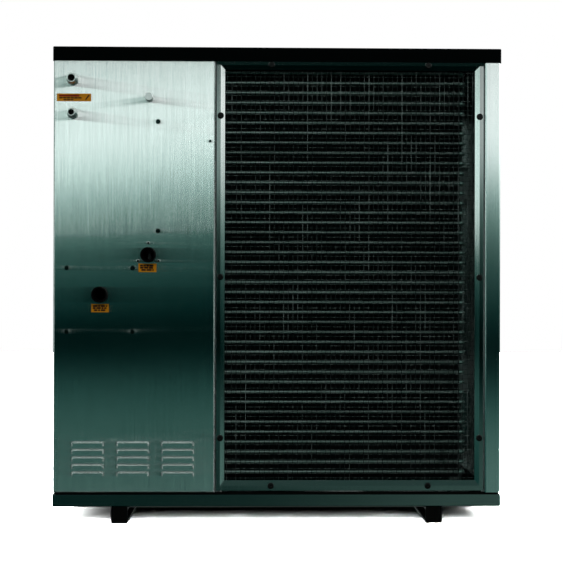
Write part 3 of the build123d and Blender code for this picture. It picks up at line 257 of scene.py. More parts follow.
def soft_room(tree, axes):
    """The light on dull surfaces: from overhead, and none from the sides."""
    upward = add_node(tree, "MapRange", {
        "Value": axes["Z"], "From Min": SOFT_UPWARD[0], "From Max": SOFT_UPWARD[1],
        "To Min": 0.0, "To Max": SOFT_LIGHT,
    }).outputs[0]
    frontal = add_node(tree, "MapRange", {
        "Value": math_node(tree, "ABSOLUTE", axes["X"]),
        "From Min": SOFT_SIDEWAYS[0], "From Max": SOFT_SIDEWAYS[1], "To Min": 1.0, "To Max": 0.0,
    }).outputs[0]
    strength = math_node(tree, "MULTIPLY", upward, frontal)
    return add_node(tree, "Background", {"Color": SOFT_COLOUR, "Strength": strength}).outputs[0]


def make_world():
    """White to the camera, soft white on dull surfaces, and a graded room in what the steel mirrors."""
    world = bpy.data.worlds.new("studio")
    world.use_nodes = True
    tree = world.node_tree
    tree.nodes.clear()
    direction = add_node(tree, "TexCoord").outputs["Generated"]
    axes = add_node(tree, "SeparateXYZ", {0: direction}).outputs
    mirrored = mirrored_room(tree, axes)
    soft = soft_room(tree, axes)
    plain = add_node(tree, "Background", {"Color": (1.0, 1.0, 1.0, 1.0), "Strength": 1.0}).outputs[0]
    # Light that has already bounced off a dull surface sees the soft room, even in a mirror.
    ray = add_node(tree, "LightPath").outputs
    direct = math_node(tree, "LESS_THAN", ray["Diffuse Depth"], 0.5)
    clear = math_node(tree, "MAXIMUM", ray["Is Glossy Ray"], ray["Is Transmission Ray"])
    mirror = math_node(tree, "MULTIPLY", clear, direct)
    lit = add_node(tree, "MixShader", {0: mirror, 1: soft, 2: mirrored})
    seen = add_node(tree, "MixShader", {0: ray["Is Camera Ray"], 1: lit.outputs[0], 2: plain})
    add_node(tree, "OutputWorld", {"Surface": seen.outputs[0]})
    bpy.context.scene.world = world


def make_key_light():
    """A softbox to the left of the camera, with its middle above the unit's lid."""
    data = bpy.data.lights.new("key", "AREA")
    data.shape = "RECTANGLE"
    data.size, data.size_y = KEY_SIZE
    data.energy = KEY_POWER
    data.color = KEY_COLOUR
    key = bpy.data.objects.new("key", data)
    key.location = KEY_PLACE
    key.rotation_euler = (KEY_AIM - KEY_PLACE).to_track_quat("-Z", "Y").to_euler()
    bpy.context.scene.collection.objects.link(key)


def make_floor():
    """A plain pale floor that the steel doesn't mirror: the room's own colours stand for it there."""
    mesh = bpy.data.meshes.new("floor")
    corners = [(x * FLOOR_HALF, y * FLOOR_HALF, 0) for x, y in ((-1, -1), (1, -1), (1, 1), (-1, 1))]
    mesh.from_pydata(corners, [], [(0, 1, 2, 3)])
    floor = bpy.data.objects.new("floor", mesh)
    material = bpy.data.materials.new("floor")
    material.use_nodes = True
    tree = material.node_tree
    tree.nodes.clear()
    matt = add_node(tree, "BsdfDiffuse", {"Color": (FLOOR_GAIN, FLOOR_GAIN, FLOOR_GAIN, 1.0)})
    add_node(tree, "OutputMaterial", {"Surface": matt.outputs[0]})
    mesh.materials.append(material)
    floor.visible_glossy = False
    floor.visible_diffuse = False
    bpy.context.scene.collection.objects.link(floor)


# --------------------------------------------------------------------------------------------------
# Materials

FIN_PITCH = 2.1 * MM
WIRE_RADIUS = 0.5 * MM
LEVEL_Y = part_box("wire_guard")[0].y + WIRE_RADIUS
UPRIGHT_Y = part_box("wire_guard")[1].y - WIRE_RADIUS


class Finish:
    """One procedural material: a Principled shader and the nodes that drive it, in the row frame's metres."""

    def __init__(self, name, metallic=0.0, **plain):
        self.material = bpy.data.materials.new(name)
        self.material.use_nodes = True
        self.tree = self.material.node_tree
        self.shader = self.tree.nodes["Principled BSDF"]
        self.place = self.add("TexCoord").outputs["Object"]
        self.height = None
        self.shader.inputs["Metallic"].default_value = metallic
        for socket, value in plain.items():
            self.shader.inputs[socket.replace("_", " ")].default_value = value

    def add(self, kind, inputs=None, **settings):
        return add_node(self.tree, kind, inputs, **settings)

    def stretched(self, stretch):
        return self.add("Mapping", {"Vector": self.place, "Scale": stretch}).outputs[0]

    def noise(self, stretch, detail=3.0, roughness=0.55, distortion=0.0):
        """Noise from 0 to 1, with its cells per metre along each axis."""
        made = self.add("TexNoise", {
            "Vector": self.stretched(stretch), "Scale": 1.0, "Detail": detail,
            "Roughness": roughness, "Distortion": distortion,
        })
        return made.outputs["Fac"]

    def cells(self, stretch):
        """A random grey for each crystal-like cell."""
        made = self.add("TexVoronoi", {"Vector": self.stretched(stretch), "Scale": 1.0})
        return self.add("SeparateXYZ", {0: made.outputs["Color"]}).outputs[0]

    def spread(self, value, low, high, start=0.3, stop=0.7):
        """The value's usual span, start to stop, carried to low to high."""
        made = self.add("MapRange", {
            "Value": value, "From Min": start, "From Max": stop, "To Min": low, "To Max": high,
        })
        return made.outputs[0]

    def blend(self, factor, first, second):
        """A mix of two colours; each is a colour or a socket."""
        made = self.add("Mix", data_type="RGBA")
        for place, value in ((0, factor), (6, first), (7, second)):
            if isinstance(value, bpy.types.NodeSocket):
                self.tree.links.new(value, made.inputs[place])
            else:
                made.inputs[place].default_value = value
        return made.outputs[2]

    def drive(self, socket, value):
        self.tree.links.new(value, self.shader.inputs[socket])

    def bump(self, height, distance, strength=1.0):
        """Raises the surface by up to distance, on top of what was raised before."""
        inputs = {"Height": height, "Distance": distance, "Strength": strength}
        if self.height is not None:
            inputs["Normal"] = self.height
        self.height = self.add("Bump", inputs).outputs[0]
        self.drive("Normal", self.height)

    def brush(self):
        """Stretches highlights along the level, as fine upright brushing does."""
        self.shader.inputs["Anisotropic"].default_value = 1.0
        tangent = self.add("Tangent", direction_type="RADIAL", axis="Z")
        self.drive("Tangent", tangent.outputs[0])


STEEL = (0.62, 0.63, 0.625)

# Cells of the brushing per metre: coarse and fine upright brushing, and brushing laid level.
COARSE_GRAIN = (2600, 2600, 0.7)
FINE_GRAIN = (8000, 8000, 2.0)
LEVEL_GRAIN = (2, 2600, 2600)

# The service panel's slight twist above this height, eased in over this span: slope per metre of width.
TWIST_FROM = 0.5
TWIST_EASE = 0.15
TWIST = 0.021


def brushed_steel(name, colour, roughness, groove, grain=COARSE_GRAIN, twist=0.0):
    """Stainless sheet with fine brushing, faint clouds and small flecks."""
    finish = Finish(name, metallic=1.0)
    streak = finish.noise(grain, detail=1.0, roughness=0.7)
    fleck = finish.noise((900, 900, 260), detail=2.0)
    cloud = finish.noise((5.0, 5.0, 3.5), detail=4.0)
    dark = tuple(c * 0.94 for c in colour) + (1.0,)
    light = tuple(min(1.0, c * 1.04) for c in colour) + (1.0,)
    grained = finish.blend(finish.spread(streak, 0.0, 1.0), dark, light)
    smudged = tuple(c * 0.93 for c in colour) + (1.0,)
    finish.drive("Base Color", finish.blend(finish.spread(cloud, 0.0, 0.55, 0.45, 0.7), grained, smudged))
    brushed = finish.spread(streak, roughness - 0.02, roughness + 0.02)
    wiped = finish.spread(cloud, -0.005, 0.015)
    finish.drive("Roughness", math_node(finish.tree, "ADD", brushed, wiped))
    if twist:
        place = finish.add("SeparateXYZ", {0: finish.place}).outputs
        along = math_node(finish.tree, "SUBTRACT", place["X"], cad_box[0].x)
        above = finish.add("Math", {
            0: math_node(finish.tree, "SUBTRACT", place["Z"], TWIST_FROM), 1: 0.0, 2: TWIST_EASE,
        }, operation="SMOOTH_MAX").outputs[0]
        finish.bump(math_node(finish.tree, "MULTIPLY", along, above), twist)
    finish.bump(streak, groove, 1.0)
    finish.bump(fleck, 0.006 * MM, 0.4)
    finish.brush()
    return finish.material


def paint(name, colour, roughness=0.38, peel=420.0, dust=0.05, specular=0.35):
    """Powder coat: an orange-peel skin with a trace of dust and handling."""
    finish = Finish(name, Specular_IOR_Level=specular)
    skin = finish.noise((peel, peel, peel), detail=2.0)
    cloud = finish.noise((9.0, 9.0, 9.0), detail=5.0, roughness=0.6)
    base = colour + (1.0,)
    dusty = tuple(c + dust * 0.3 for c in colour) + (1.0,)
    finish.drive("Base Color", finish.blend(finish.spread(cloud, 0.0, 0.6, 0.42, 0.75), base, dusty))
    rubbed = finish.spread(cloud, roughness - 0.06, roughness + 0.08)
    speckled = finish.spread(skin, -0.03, 0.03)
    finish.drive("Roughness", math_node(finish.tree, "ADD", rubbed, speckled))
    finish.bump(skin, 0.05 * MM, 0.35)
    return finish.material


def plastic(name, colour, roughness=0.42, texture=1400.0, **plain):
    """Moulded plastic with a fine spark-eroded texture and slight flow marks."""
    finish = Finish(name, **plain)
    texture_noise = finish.noise((texture, texture, texture), detail=2.0)
    flow = finish.noise((14.0, 40.0, 14.0), detail=3.0, distortion=0.6)
    pale = tuple(min(1.0, c * 1.25 + 0.0005) for c in colour) + (1.0,)
    finish.drive("Base Color", finish.blend(finish.spread(flow, 0.0, 0.7), colour + (1.0,), pale))
    finish.drive("Roughness", finish.spread(flow, roughness - 0.05, roughness + 0.06))
    finish.bump(texture_noise, 0.03 * MM, 0.4)
    return finish.material


def galvanised(name, colour, roughness, spangle):
    """Zinc-dipped sheet with its crystal spangle and white bloom."""
    finish = Finish(name, metallic=0.9)
    crystal = finish.cells((spangle, spangle, spangle * 0.7))
    bloom = finish.noise((22.0, 22.0, 22.0), detail=5.0)
    dark = tuple(c * 0.8 for c in colour) + (1.0,)
    patched = finish.blend(finish.spread(crystal, 0.0, 1.0, 0.0, 1.0), dark, colour + (1.0,))
    bloomed = finish.blend(finish.spread(bloom, 0.0, 0.4, 0.5, 0.75), patched, (0.7, 0.73, 0.73, 1.0))
    finish.drive("Base Color", bloomed)
    finish.drive("Roughness", finish.spread(crystal, roughness - 0.08, roughness + 0.1, 0.0, 1.0))
    finish.bump(bloom, 0.05 * MM, 0.3)
    return finish.material


def bare_metal(name, colour, roughness, stain, lathe=(30, 30, 900)):
    """Drawn or turned metal: tool marks, and patches of a darker or duller stain."""
    finish = Finish(name, metallic=1.0)
    mark = finish.noise(lathe, detail=3.0, roughness=0.7)
    patch = finish.noise((60.0, 60.0, 60.0), detail=6.0, roughness=0.65)
    dark = tuple(c * 0.8 for c in colour) + (1.0,)
    marked = finish.blend(finish.spread(mark, 0.0, 0.35), colour + (1.0,), dark)
    stained = finish.blend(finish.spread(patch, 0.0, 0.5, 0.45, 0.7), marked, stain + (1.0,))
    finish.drive("Base Color", stained)
    dulled = finish.spread(patch, roughness - 0.04, roughness + 0.18, 0.4, 0.75)
    finish.drive("Roughness", dulled)
    finish.bump(mark, 0.02 * MM, 0.4)
    return finish.material


def bolt_head(name):
    """Zinc-plated fasteners with painted light: the faces that look ahead and back are painted dark as shade,
    and the chamfers and flanks are painted bright as glints.
    """
    finish = Finish(name, metallic=1.0)
    facing = finish.add("SeparateXYZ", {0: finish.add("NewGeometry").outputs["Normal"]}).outputs["Y"]
    # The share of a surface that looks straight ahead or back: it takes the painted shade, and the rest takes
    # the painted glints.
    painted_shade_share = finish.spread(math_node(finish.tree, "ABSOLUTE", facing), 0.0, 1.0, 0.8, 0.98)
    patch = finish.noise((300.0, 300.0, 300.0), detail=4.0)
    # Painted glints: the bright colour that the chamfers and flanks take.
    bright = finish.blend(finish.spread(patch, 0.0, 0.4), linear(240, 248, 244), linear(190, 204, 198))
    # Painted shade: the dark colour that the faces looking ahead and back take.
    dulled = finish.blend(finish.spread(patch, 0.0, 0.5), linear(40, 56, 54), linear(70, 88, 84))
    finish.drive("Base Color", finish.blend(painted_shade_share, bright, dulled))
    finish.drive("Metallic", finish.spread(painted_shade_share, 0.45, 1.0, 0.0, 1.0))
    finish.drive("Roughness", finish.spread(patch, 0.1, 0.2))
    finish.bump(patch, 0.02 * MM, 0.3)
    return finish.material


def rough_cast(name, colour, roughness):
    """Painted cast iron: a coarse sand skin under the paint."""
    finish = Finish(name)
    sand = finish.noise((260.0, 260.0, 260.0), detail=5.0, roughness=0.65)
    cloud = finish.noise((18.0, 18.0, 18.0), detail=4.0)
    worn = tuple(c * 1.8 + 0.01 for c in colour) + (1.0,)
    finish.drive("Base Color", finish.blend(finish.spread(cloud, 0.0, 0.6, 0.5, 0.8), colour + (1.0,), worn))
    finish.drive("Roughness", finish.spread(sand, roughness - 0.1, roughness + 0.12))
    finish.bump(sand, 0.25 * MM, 0.6)
    return finish.material


def rubber(name, colour, roughness=0.72, pore=900.0):
    """Matt rubber or closed-cell foam, with pores and a pale bloom."""
    finish = Finish(name, Specular_IOR_Level=0.08)
    pores = finish.noise((pore, pore, pore), detail=3.0)
    bloom = finish.noise((25.0, 25.0, 25.0), detail=5.0)
    pale = tuple(c * 1.8 + 0.0005 for c in colour) + (1.0,)
    finish.drive("Base Color", finish.blend(finish.spread(bloom, 0.0, 0.7, 0.4, 0.75), colour + (1.0,), pale))
    finish.drive("Roughness", finish.spread(bloom, roughness + 0.06, roughness - 0.08))
    finish.bump(pores, 0.08 * MM, 0.5)
    return finish.material


def finned_tube(name):
    """The fins' collars round a tube: dull aluminium with a ring at every fin, and uneven bright
    patches. Past the last fin it is painted darker, as shade where the tube meets the end plate."""
    finish = Finish(name, metallic=0.8)
    ring = finish.add("TexWave", {
        "Vector": finish.place, "Scale": math.pi / FIN_PITCH / 20, "Distortion": 0.0,
    }, wave_type="BANDS", bands_direction="X", wave_profile="SIN").outputs["Fac"]
    patch = finish.noise((55.0, 200.0, 200.0), detail=4.0, roughness=0.7)
    row = finish.noise((3.0, 3.0, 31.0), detail=1.0)
    bright = finish.blend(finish.spread(patch, 0.0, 1.0), linear(200, 240, 228), linear(245, 255, 252))
    uneven = finish.blend(finish.spread(row, 0.0, 0.5), bright, linear(160, 192, 184))
    ringed = finish.blend(finish.spread(ring, 0.0, 0.3, 0.0, 1.0), uneven, linear(110, 138, 130))
    across = finish.add("SeparateXYZ", {0: finish.place}).outputs["X"]
    fins_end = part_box("coil_fins")[1].x
    # Painted shade: past the last fin the tube takes a darker copy of its colour.
    painted_shade_beyond_fins = finish.spread(across, 0.0, 1.0, fins_end - 6 * MM, fins_end + 4 * MM)
    finish.drive("Base Color", finish.blend(painted_shade_beyond_fins, ringed, linear(110, 140, 132)))
    finish.drive("Roughness", finish.spread(patch, 0.4, 0.3))
    finish.bump(ring, 0.2 * MM, 0.5)
    return finish.material


def coil_fin(name):
    """Thin fin stock painted near black, as the shade deep between the fins, with paler dust in places."""
    finish = Finish(name, Specular_IOR_Level=0.12)
    dust = finish.noise((140.0, 60.0, 90.0), detail=5.0, roughness=0.7)
    # Painted shade: a near-black colour standing in for the shade between the fins, paler where there is
    # dust.
    dust_and_painted_shade = finish.blend(finish.spread(dust, 0.0, 1.0), linear(1, 2, 3), linear(14, 18, 18))
    finish.drive("Base Color", dust_and_painted_shade)
    finish.drive("Roughness", finish.spread(dust, 0.5, 0.7))
    finish.bump(dust, 0.05 * MM, 0.3)
    return finish.material


def mesh_wire(name):
    """Dull galvanised wire with painted light: most wires are painted dark as shade, a few are painted bright
    as highlights, and the level ones carry painted glints in places.
    """
    finish = Finish(name, metallic=0.8)
    depth = finish.add("SeparateXYZ", {0: finish.place}).outputs["Y"]
    behind = finish.spread(depth, 0.0, 1.0, LEVEL_Y, UPRIGHT_Y)
    # Which upright wires are painted bright as highlights; the rest are painted dark as shade.
    upright = finish.spread(finish.noise((71.0, 0.0, 5.0), detail=1.0), 0.0, 0.8, 0.54, 0.76)
    # Where the level wires carry painted glints; the rest are painted dark as shade.
    level = finish.spread(finish.noise((170.0, 0.0, 71.0), detail=1.0), 0.0, 0.55, 0.5, 0.7)
    upright_painted_light = finish.blend(upright, linear(24, 30, 30), linear(200, 210, 208))
    level_painted_light = finish.blend(level, linear(40, 56, 54), linear(214, 228, 222))
    finish.drive("Base Color", finish.blend(behind, level_painted_light, upright_painted_light))
    patch = finish.noise((85.0, 85.0, 85.0), detail=3.0, roughness=0.7)
    finish.drive("Roughness", finish.spread(patch, 0.55, 0.36))
    finish.bump(patch, 0.08 * MM, 0.5)
    return finish.material


def label_stock(name):
    """Printed amber film with a satin laminate."""
    finish = Finish(name, Specular_IOR_Level=0.2)
    fibre = finish.noise((500.0, 500.0, 500.0), detail=4.0)
    fade = finish.noise((30.0, 30.0, 60.0), detail=3.0)
    amber = finish.blend(finish.spread(fade, 0.0, 1.0), linear(226, 148, 2), linear(212, 134, 2))
    finish.drive("Base Color", finish.blend(finish.spread(fibre, 0.0, 0.25), amber, linear(232, 158, 8)))
    finish.drive("Roughness", finish.spread(fibre, 0.42, 0.55))
    finish.bump(fibre, 0.01 * MM, 0.4)
    return finish.material


def ink(name, colour):
    """Screen-printed ink, slightly mottled."""
    finish = Finish(name, Specular_IOR_Level=0.15)
    mottle = finish.noise((700.0, 700.0, 700.0), detail=3.0)
    pale = tuple(min(1.0, c * 1.5 + 0.01) for c in colour[:3]) + (1.0,)
    finish.drive("Base Color", finish.blend(finish.spread(mottle, 0.0, 0.6), colour, pale))
    finish.drive("Roughness", finish.spread(mottle, 0.4, 0.55))
    finish.bump(mottle, 0.01 * MM, 0.4)
    return finish.material


def clear_cover(name):
    """Smoke-tinted polycarbonate with wiping marks."""
    finish = Finish(name, Transmission_Weight=0.92, IOR=1.58)
    wipe = finish.noise((25.0, 25.0, 160.0), detail=5.0, distortion=0.8)
    tint = finish.blend(finish.spread(wipe, 0.0, 1.0), (0.55, 0.6, 0.6, 1.0), (0.7, 0.75, 0.74, 1.0))
    finish.drive("Base Color", tint)
    finish.drive("Roughness", finish.spread(wipe, 0.05, 0.16))
    finish.bump(wipe, 0.03 * MM, 0.2)
    return finish.material


def glass_screen(name):
    """A dark display window under a clear hard coat."""
    finish = Finish(name, Coat_Weight=1.0, Coat_Roughness=0.04)
    haze = finish.noise((60.0, 60.0, 60.0), detail=5.0)
    hazed = finish.blend(finish.spread(haze, 0.0, 1.0), linear(12, 20, 20), linear(24, 34, 32))
    finish.drive("Base Color", hazed)
    finish.drive("Roughness", finish.spread(haze, 0.2, 0.32))
    finish.bump(haze, 0.01 * MM, 0.2)
    return finish.material


# The finish of each material slot: the function that makes it, and what it is given.
FINISHES = {
    "lid_black": (paint, dict(colour=(0.0, 0.001, 0.001), roughness=0.4, dust=0.002, specular=0.015)),
    # The base pan's steel is painted darker than the panel's, as shade: its face mirrors the dim room low
    # down.
    "pan_steel": (brushed_steel, dict(
        colour=(0.33, 0.34, 0.335), roughness=0.12, groove=0.01 * MM, grain=LEVEL_GRAIN,
    )),
    "rail_black": (paint, dict(colour=(0.001, 0.001, 0.001), roughness=0.45, dust=0.004, specular=0.06)),
    "plug_black": (plastic, dict(colour=(0.001, 0.001, 0.001), roughness=0.5, Specular_IOR_Level=0.06)),
    "foam_black": (rubber, dict(colour=(0.0005, 0.0005, 0.0005), roughness=0.85, pore=1400.0)),
    "galvanised": (galvanised, dict(colour=(0.56, 0.60, 0.60), roughness=0.42, spangle=90.0)),
    "brushed_steel": (brushed_steel, dict(
        colour=STEEL, roughness=0.16, groove=0.12 * MM, grain=FINE_GRAIN,
    )),
    "frame_steel": (brushed_steel, dict(colour=(0.40, 0.41, 0.405), roughness=0.1, groove=0.1 * MM)),
    "wire_steel": (mesh_wire, dict()),
    "screw_black": (paint, dict(
        colour=(0.003, 0.003, 0.003), roughness=0.28, peel=1500.0, dust=0.005, specular=0.2,
    )),
    "bolt_zinc": (bolt_head, dict()),
    "fin_aluminium": (galvanised, dict(colour=(0.6, 0.62, 0.62), roughness=0.38, spangle=260.0)),
    "copper": (bare_metal, dict(colour=(0.80, 0.36, 0.20), roughness=0.26, stain=(0.22, 0.09, 0.05))),
    "compressor_black": (paint, dict(colour=(0.010, 0.010, 0.011), roughness=0.36, dust=0.1)),
    "cast_core": (rough_cast, dict(colour=(0.09, 0.09, 0.095), roughness=0.55)),
    "rubber_black": (rubber, dict(colour=(0.010, 0.010, 0.010))),
    "valve_brass": (bare_metal, dict(colour=(0.76, 0.55, 0.22), roughness=0.28, stain=(0.34, 0.2, 0.08))),
    "port_nickel": (bare_metal, dict(
        colour=(0.97, 0.98, 0.97), roughness=0.45, stain=(0.8, 0.82, 0.8), lathe=(40, 900, 40),
    )),
    "jacket_grey": (rubber, dict(colour=(0.05, 0.055, 0.06), roughness=0.8, pore=700.0)),
    "titanium": (bare_metal, dict(colour=(0.50, 0.48, 0.46), roughness=0.33, stain=(0.30, 0.28, 0.30))),
    "pipe_black": (plastic, dict(
        colour=(0.0008, 0.0008, 0.0008), roughness=0.6, Specular_IOR_Level=0.05,
    )),
    "switch_grey": (plastic, dict(colour=(0.12, 0.125, 0.13))),
    "contactor_cream": (plastic, dict(colour=(0.52, 0.48, 0.38))),
    "capacitor_can": (bare_metal, dict(colour=(0.72, 0.73, 0.74), roughness=0.34, stain=(0.5, 0.5, 0.5))),
    "gland_silver": (bare_metal, dict(
        colour=(0.90, 0.92, 0.90), roughness=0.34, stain=(0.66, 0.7, 0.67), lathe=(60, 900, 60),
    )),
    "controller_grey": (plastic, dict(colour=(0.20, 0.21, 0.21), roughness=0.5)),
    "display_dark": (glass_screen, dict()),
    "flap_clear": (clear_cover, dict()),
    "label_amber": (label_stock, dict()),
    "button_dark": (rubber, dict(colour=(0.02, 0.022, 0.022), roughness=0.6)),
    "guard_black": (paint, dict(colour=(0.010, 0.011, 0.011), roughness=0.36, peel=800.0, dust=0.08)),
    "motor_grey": (paint, dict(colour=(0.07, 0.075, 0.08), roughness=0.42, dust=0.12)),
    "fan_plastic": (plastic, dict(colour=(0.016, 0.017, 0.018), roughness=0.46, texture=700.0)),
    "shaft_steel": (bare_metal, dict(
        colour=(0.58, 0.58, 0.57), roughness=0.24, stain=(0.4, 0.36, 0.3), lathe=(40, 900, 40),
    )),
}


def dress_nodes():
    """Gives every CAD node the finish of its material slot, and four nodes one of their own."""
    made = {slot: maker(slot, **settings) for slot, (maker, settings) in FINISHES.items()}
    for part in frame["record"]["subparts"]:
        dress(nodes[part["node"]], made[part["material_slot"]])
    dress(nodes["coil_tubes"], finned_tube("collar_aluminium"))
    twisted = brushed_steel("service_panel_steel", STEEL, 0.1, 1.0 * MM, FINE_GRAIN, TWIST)
    dress(nodes["service_panel"], twisted)
    # The right side panel's steel is painted paler than the service panel's, as light: its corner post looks
    # brighter than the front.
    dress(nodes["side_panel_right"], brushed_steel("side_steel_painted_light", (0.92, 0.93, 0.925), 0.12, 0.2 * MM))
    # The end plates take the fins' near-black painted shade.
    dress(nodes["coil_end_plates"], coil_fin("end_plate_painted_shade"))


def dress(piece, material):
    """Makes a material the only one on a piece."""
    piece.data.materials.clear()
    piece.data.materials.append(material)


# --------------------------------------------------------------------------------------------------
# Pieces built here


def add_piece(name, vertices, faces, material, body, smooth=False):
    """A mesh piece that rides on a body, with the material it is given."""
    mesh = bpy.data.meshes.new(name)
    mesh.from_pydata(vertices, [], faces)
    mesh.update()
    mesh.materials.append(material)
    if smooth:
        mesh.shade_smooth()
    piece = bpy.data.objects.new(name, mesh)
    bpy.context.scene.collection.objects.link(piece)
    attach(piece, body)
    return piece


# A fin's ripple from front to back, as shares of its wave, and how it is cut into faces.
FIN_THICK = 0.13 * MM
FIN_WAVE = 1.3 * MM
FIN_SHAPE = [0.0, 0.0, 0.0, 1.0, -1.0, 1.0, -1.0]
FIN_FOLDS = len(FIN_SHAPE) - 1
FIN_STEPS = 46

# Knocks on the fins: a knock's reach along the level, how much taller it is, and the number of reaches
# at which it has faded out.
DENTS = 26
DENT_REACH = 16 * MM
DENT_TALL = 1.6
DENT_FADE = 2.0
DENT_DEPTH = 1.3 * MM


def fin_dents(low, high):
    """Places where a knock has leant the fins' front edges over: (x, z, signed depth)."""
    found = []
    for _ in range(DENTS):
        x = random.uniform(low.x, high.x)
        z = random.uniform(low.z, high.z)
        found.append((x, z, random.choice((-1, 1)) * random.uniform(0.4, 1.0) * DENT_DEPTH))
    return found


def lean(x, z, dents):
    """How far the fin at x is leant sideways at height z."""
    total = 0.0
    for dent_x, dent_z, depth in dents:
        across = (x - dent_x) / DENT_REACH
        along = (z - dent_z) / (DENT_REACH * DENT_TALL)
        if abs(across) < DENT_FADE and abs(along) < DENT_FADE:
            total += depth * math.exp(-(across * across + along * along) * DENT_FADE)
    return total


def build_fins():
    """The finned block: thin rippled plates side by side, with a few dents in their front edges."""
    low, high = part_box("coil_fins")
    dents = fin_dents(low, high)
    vertices = []
    faces = []
    count = int((high.x - low.x - FIN_THICK) / FIN_PITCH)
    for index in range(count):
        x = low.x + FIN_THICK + index * FIN_PITCH
        start = len(vertices)
        for step in range(FIN_STEPS + 1):
            z = low.z + (high.z - low.z) * step / FIN_STEPS
            tilt = lean(x, z, dents)
            for side in (-0.5, 0.5):
                for fold in range(FIN_FOLDS + 1):
                    share = fold / FIN_FOLDS
                    wave = FIN_WAVE * FIN_SHAPE[fold] + tilt * max(0.0, 1 - 3 * share) ** 2
                    shifted = min(max(x + wave + side * FIN_THICK, low.x), high.x)
                    vertices.append((shifted, low.y + (high.y - low.y) * share, z))
        row = 2 * (FIN_FOLDS + 1)
        for step in range(FIN_STEPS):
            near = start + step * row
            far = near + row
            for fold in range(FIN_FOLDS):
                left = near + fold
                faces.append((left, far - near + left, far - near + left + 1, left + 1))
                right = near + FIN_FOLDS + 1 + fold
                faces.append((right, right + 1, right + 1 + row, right + row))
            faces.append((near, near + FIN_FOLDS + 1, far + FIN_FOLDS + 1, far))
            edge = near + FIN_FOLDS
            faces.append((edge, edge + row, edge + row + FIN_FOLDS + 1, edge + FIN_FOLDS + 1))
        for level, flip in ((start, False), (start + FIN_STEPS * row, True)):
            for fold in range(FIN_FOLDS):
                beside = level + fold + FIN_FOLDS + 1
                quad = (level + fold, level + fold + 1, beside + 1, beside)
                faces.append(quad[::-1] if flip else quad)
    fins = add_piece("fin_block", vertices, faces, coil_fin("fin_stock_painted_shade"), "cabinet")
    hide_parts("coil_fins")


WIRE_PITCH = 12.0 * MM
WIRE_SIDES = 6
WIRE_STEPS = 24
WIRE_STRAY = 0.35 * MM
WIRE_BENDS = 9.0


def wire(start, end, stray_axis):
    """A drawn wire between two points, straying a little to one side and back: its vertices and faces."""
    run = (end - start).normalized()
    across = run.cross(Vector((0.0, 1.0, 0.0)))
    phase = random.uniform(0.0, math.tau)
    vertices = []
    for step in range(WIRE_STEPS + 1):
        share = step / WIRE_STEPS
        centre = start.lerp(end, share)
        centre += stray_axis * WIRE_STRAY * math.sin(phase + share * WIRE_BENDS) * math.sin(math.pi * share)
        for side in range(WIRE_SIDES):
            angle = math.tau * side / WIRE_SIDES
            offset = math.cos(angle) * across + math.sin(angle) * Vector((0.0, 1.0, 0.0))
            vertices.append(centre + WIRE_RADIUS * offset)
    faces = [tuple(range(WIRE_SIDES))[::-1], tuple(WIRE_STEPS * WIRE_SIDES + i for i in range(WIRE_SIDES))]
    for step in range(WIRE_STEPS):
        for side in range(WIRE_SIDES):
            near = step * WIRE_SIDES
            beside = (side + 1) % WIRE_SIDES
            faces.append((near + side, near + beside, near + WIRE_SIDES + beside, near + WIRE_SIDES + side))
    return vertices, faces


def build_guard():
    """The welded guard: level wires in front of upright ones, none of them quite straight."""
    low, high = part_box("wire_guard")
    wires = []
    uprights = round((high.x - low.x) / WIRE_PITCH)
    for index in range(uprights + 1):
        x = low.x + WIRE_RADIUS + (high.x - low.x - 2 * WIRE_RADIUS) * index / uprights
        stray = Vector((0.0 if index in (0, uprights) else 1.0, 0.0, 0.0))
        wires.append(wire(Vector((x, UPRIGHT_Y, low.z)), Vector((x, UPRIGHT_Y, high.z)), stray))
    levels = round((high.z - low.z) / WIRE_PITCH)
    for index in range(levels + 1):
        z = low.z + WIRE_RADIUS + (high.z - low.z - 2 * WIRE_RADIUS) * index / levels
        stray = Vector((0.0, 0.0, 0.0 if index in (0, levels) else 1.0))
        wires.append(wire(Vector((low.x, LEVEL_Y, z)), Vector((high.x, LEVEL_Y, z)), stray))
    vertices, faces = joined(wires)
    drawn = mesh_wire("guard_wire")
    guard = add_piece("guard_wires", vertices, faces, drawn, "cabinet", smooth=True)
    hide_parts("wire_guard")


def islands(node):
    """(lowest corner, highest corner) of each separate solid in a CAD node, from left to right."""
    mesh = nodes[node].data
    parent = list(range(len(mesh.vertices)))

    def root(i):
        while parent[i] != i:
            parent[i] = parent[parent[i]]
            i = parent[i]
        return i

    # Faces of one solid may not share vertices, so vertices at one place count as one.
    seen = {}
    for vertex in mesh.vertices:
        key = tuple(round(c, 6) for c in vertex.co)
        parent[root(vertex.index)] = root(seen.setdefault(key, vertex.index))
    for edge in mesh.edges:
        parent[root(edge.vertices[0])] = root(edge.vertices[1])
    boxes = {}
    for vertex in mesh.vertices:
        low, high = boxes.setdefault(root(vertex.index), (vertex.co.copy(), vertex.co.copy()))
        for axis in range(3):
            low[axis] = min(low[axis], vertex.co[axis])
            high[axis] = max(high[axis], vertex.co[axis])
    return sorted(boxes.values(), key=lambda box: (round(box[0].x, 4), round(box[0].z, 4)))


# The seal's section, from its outer edge inwards and round the back: (share of the bore, depth in mm).
SEAL_SIDES = 32
SEAL_PINHOLE = 1.2 * MM
SEAL_PROFILE = [(1.0, 2.0), (0.86, 1.6), (0.72, 2.2), (0.45, 5.0), (0.2, 8.0), (0.2, 9.5), (1.0, 9.5)]


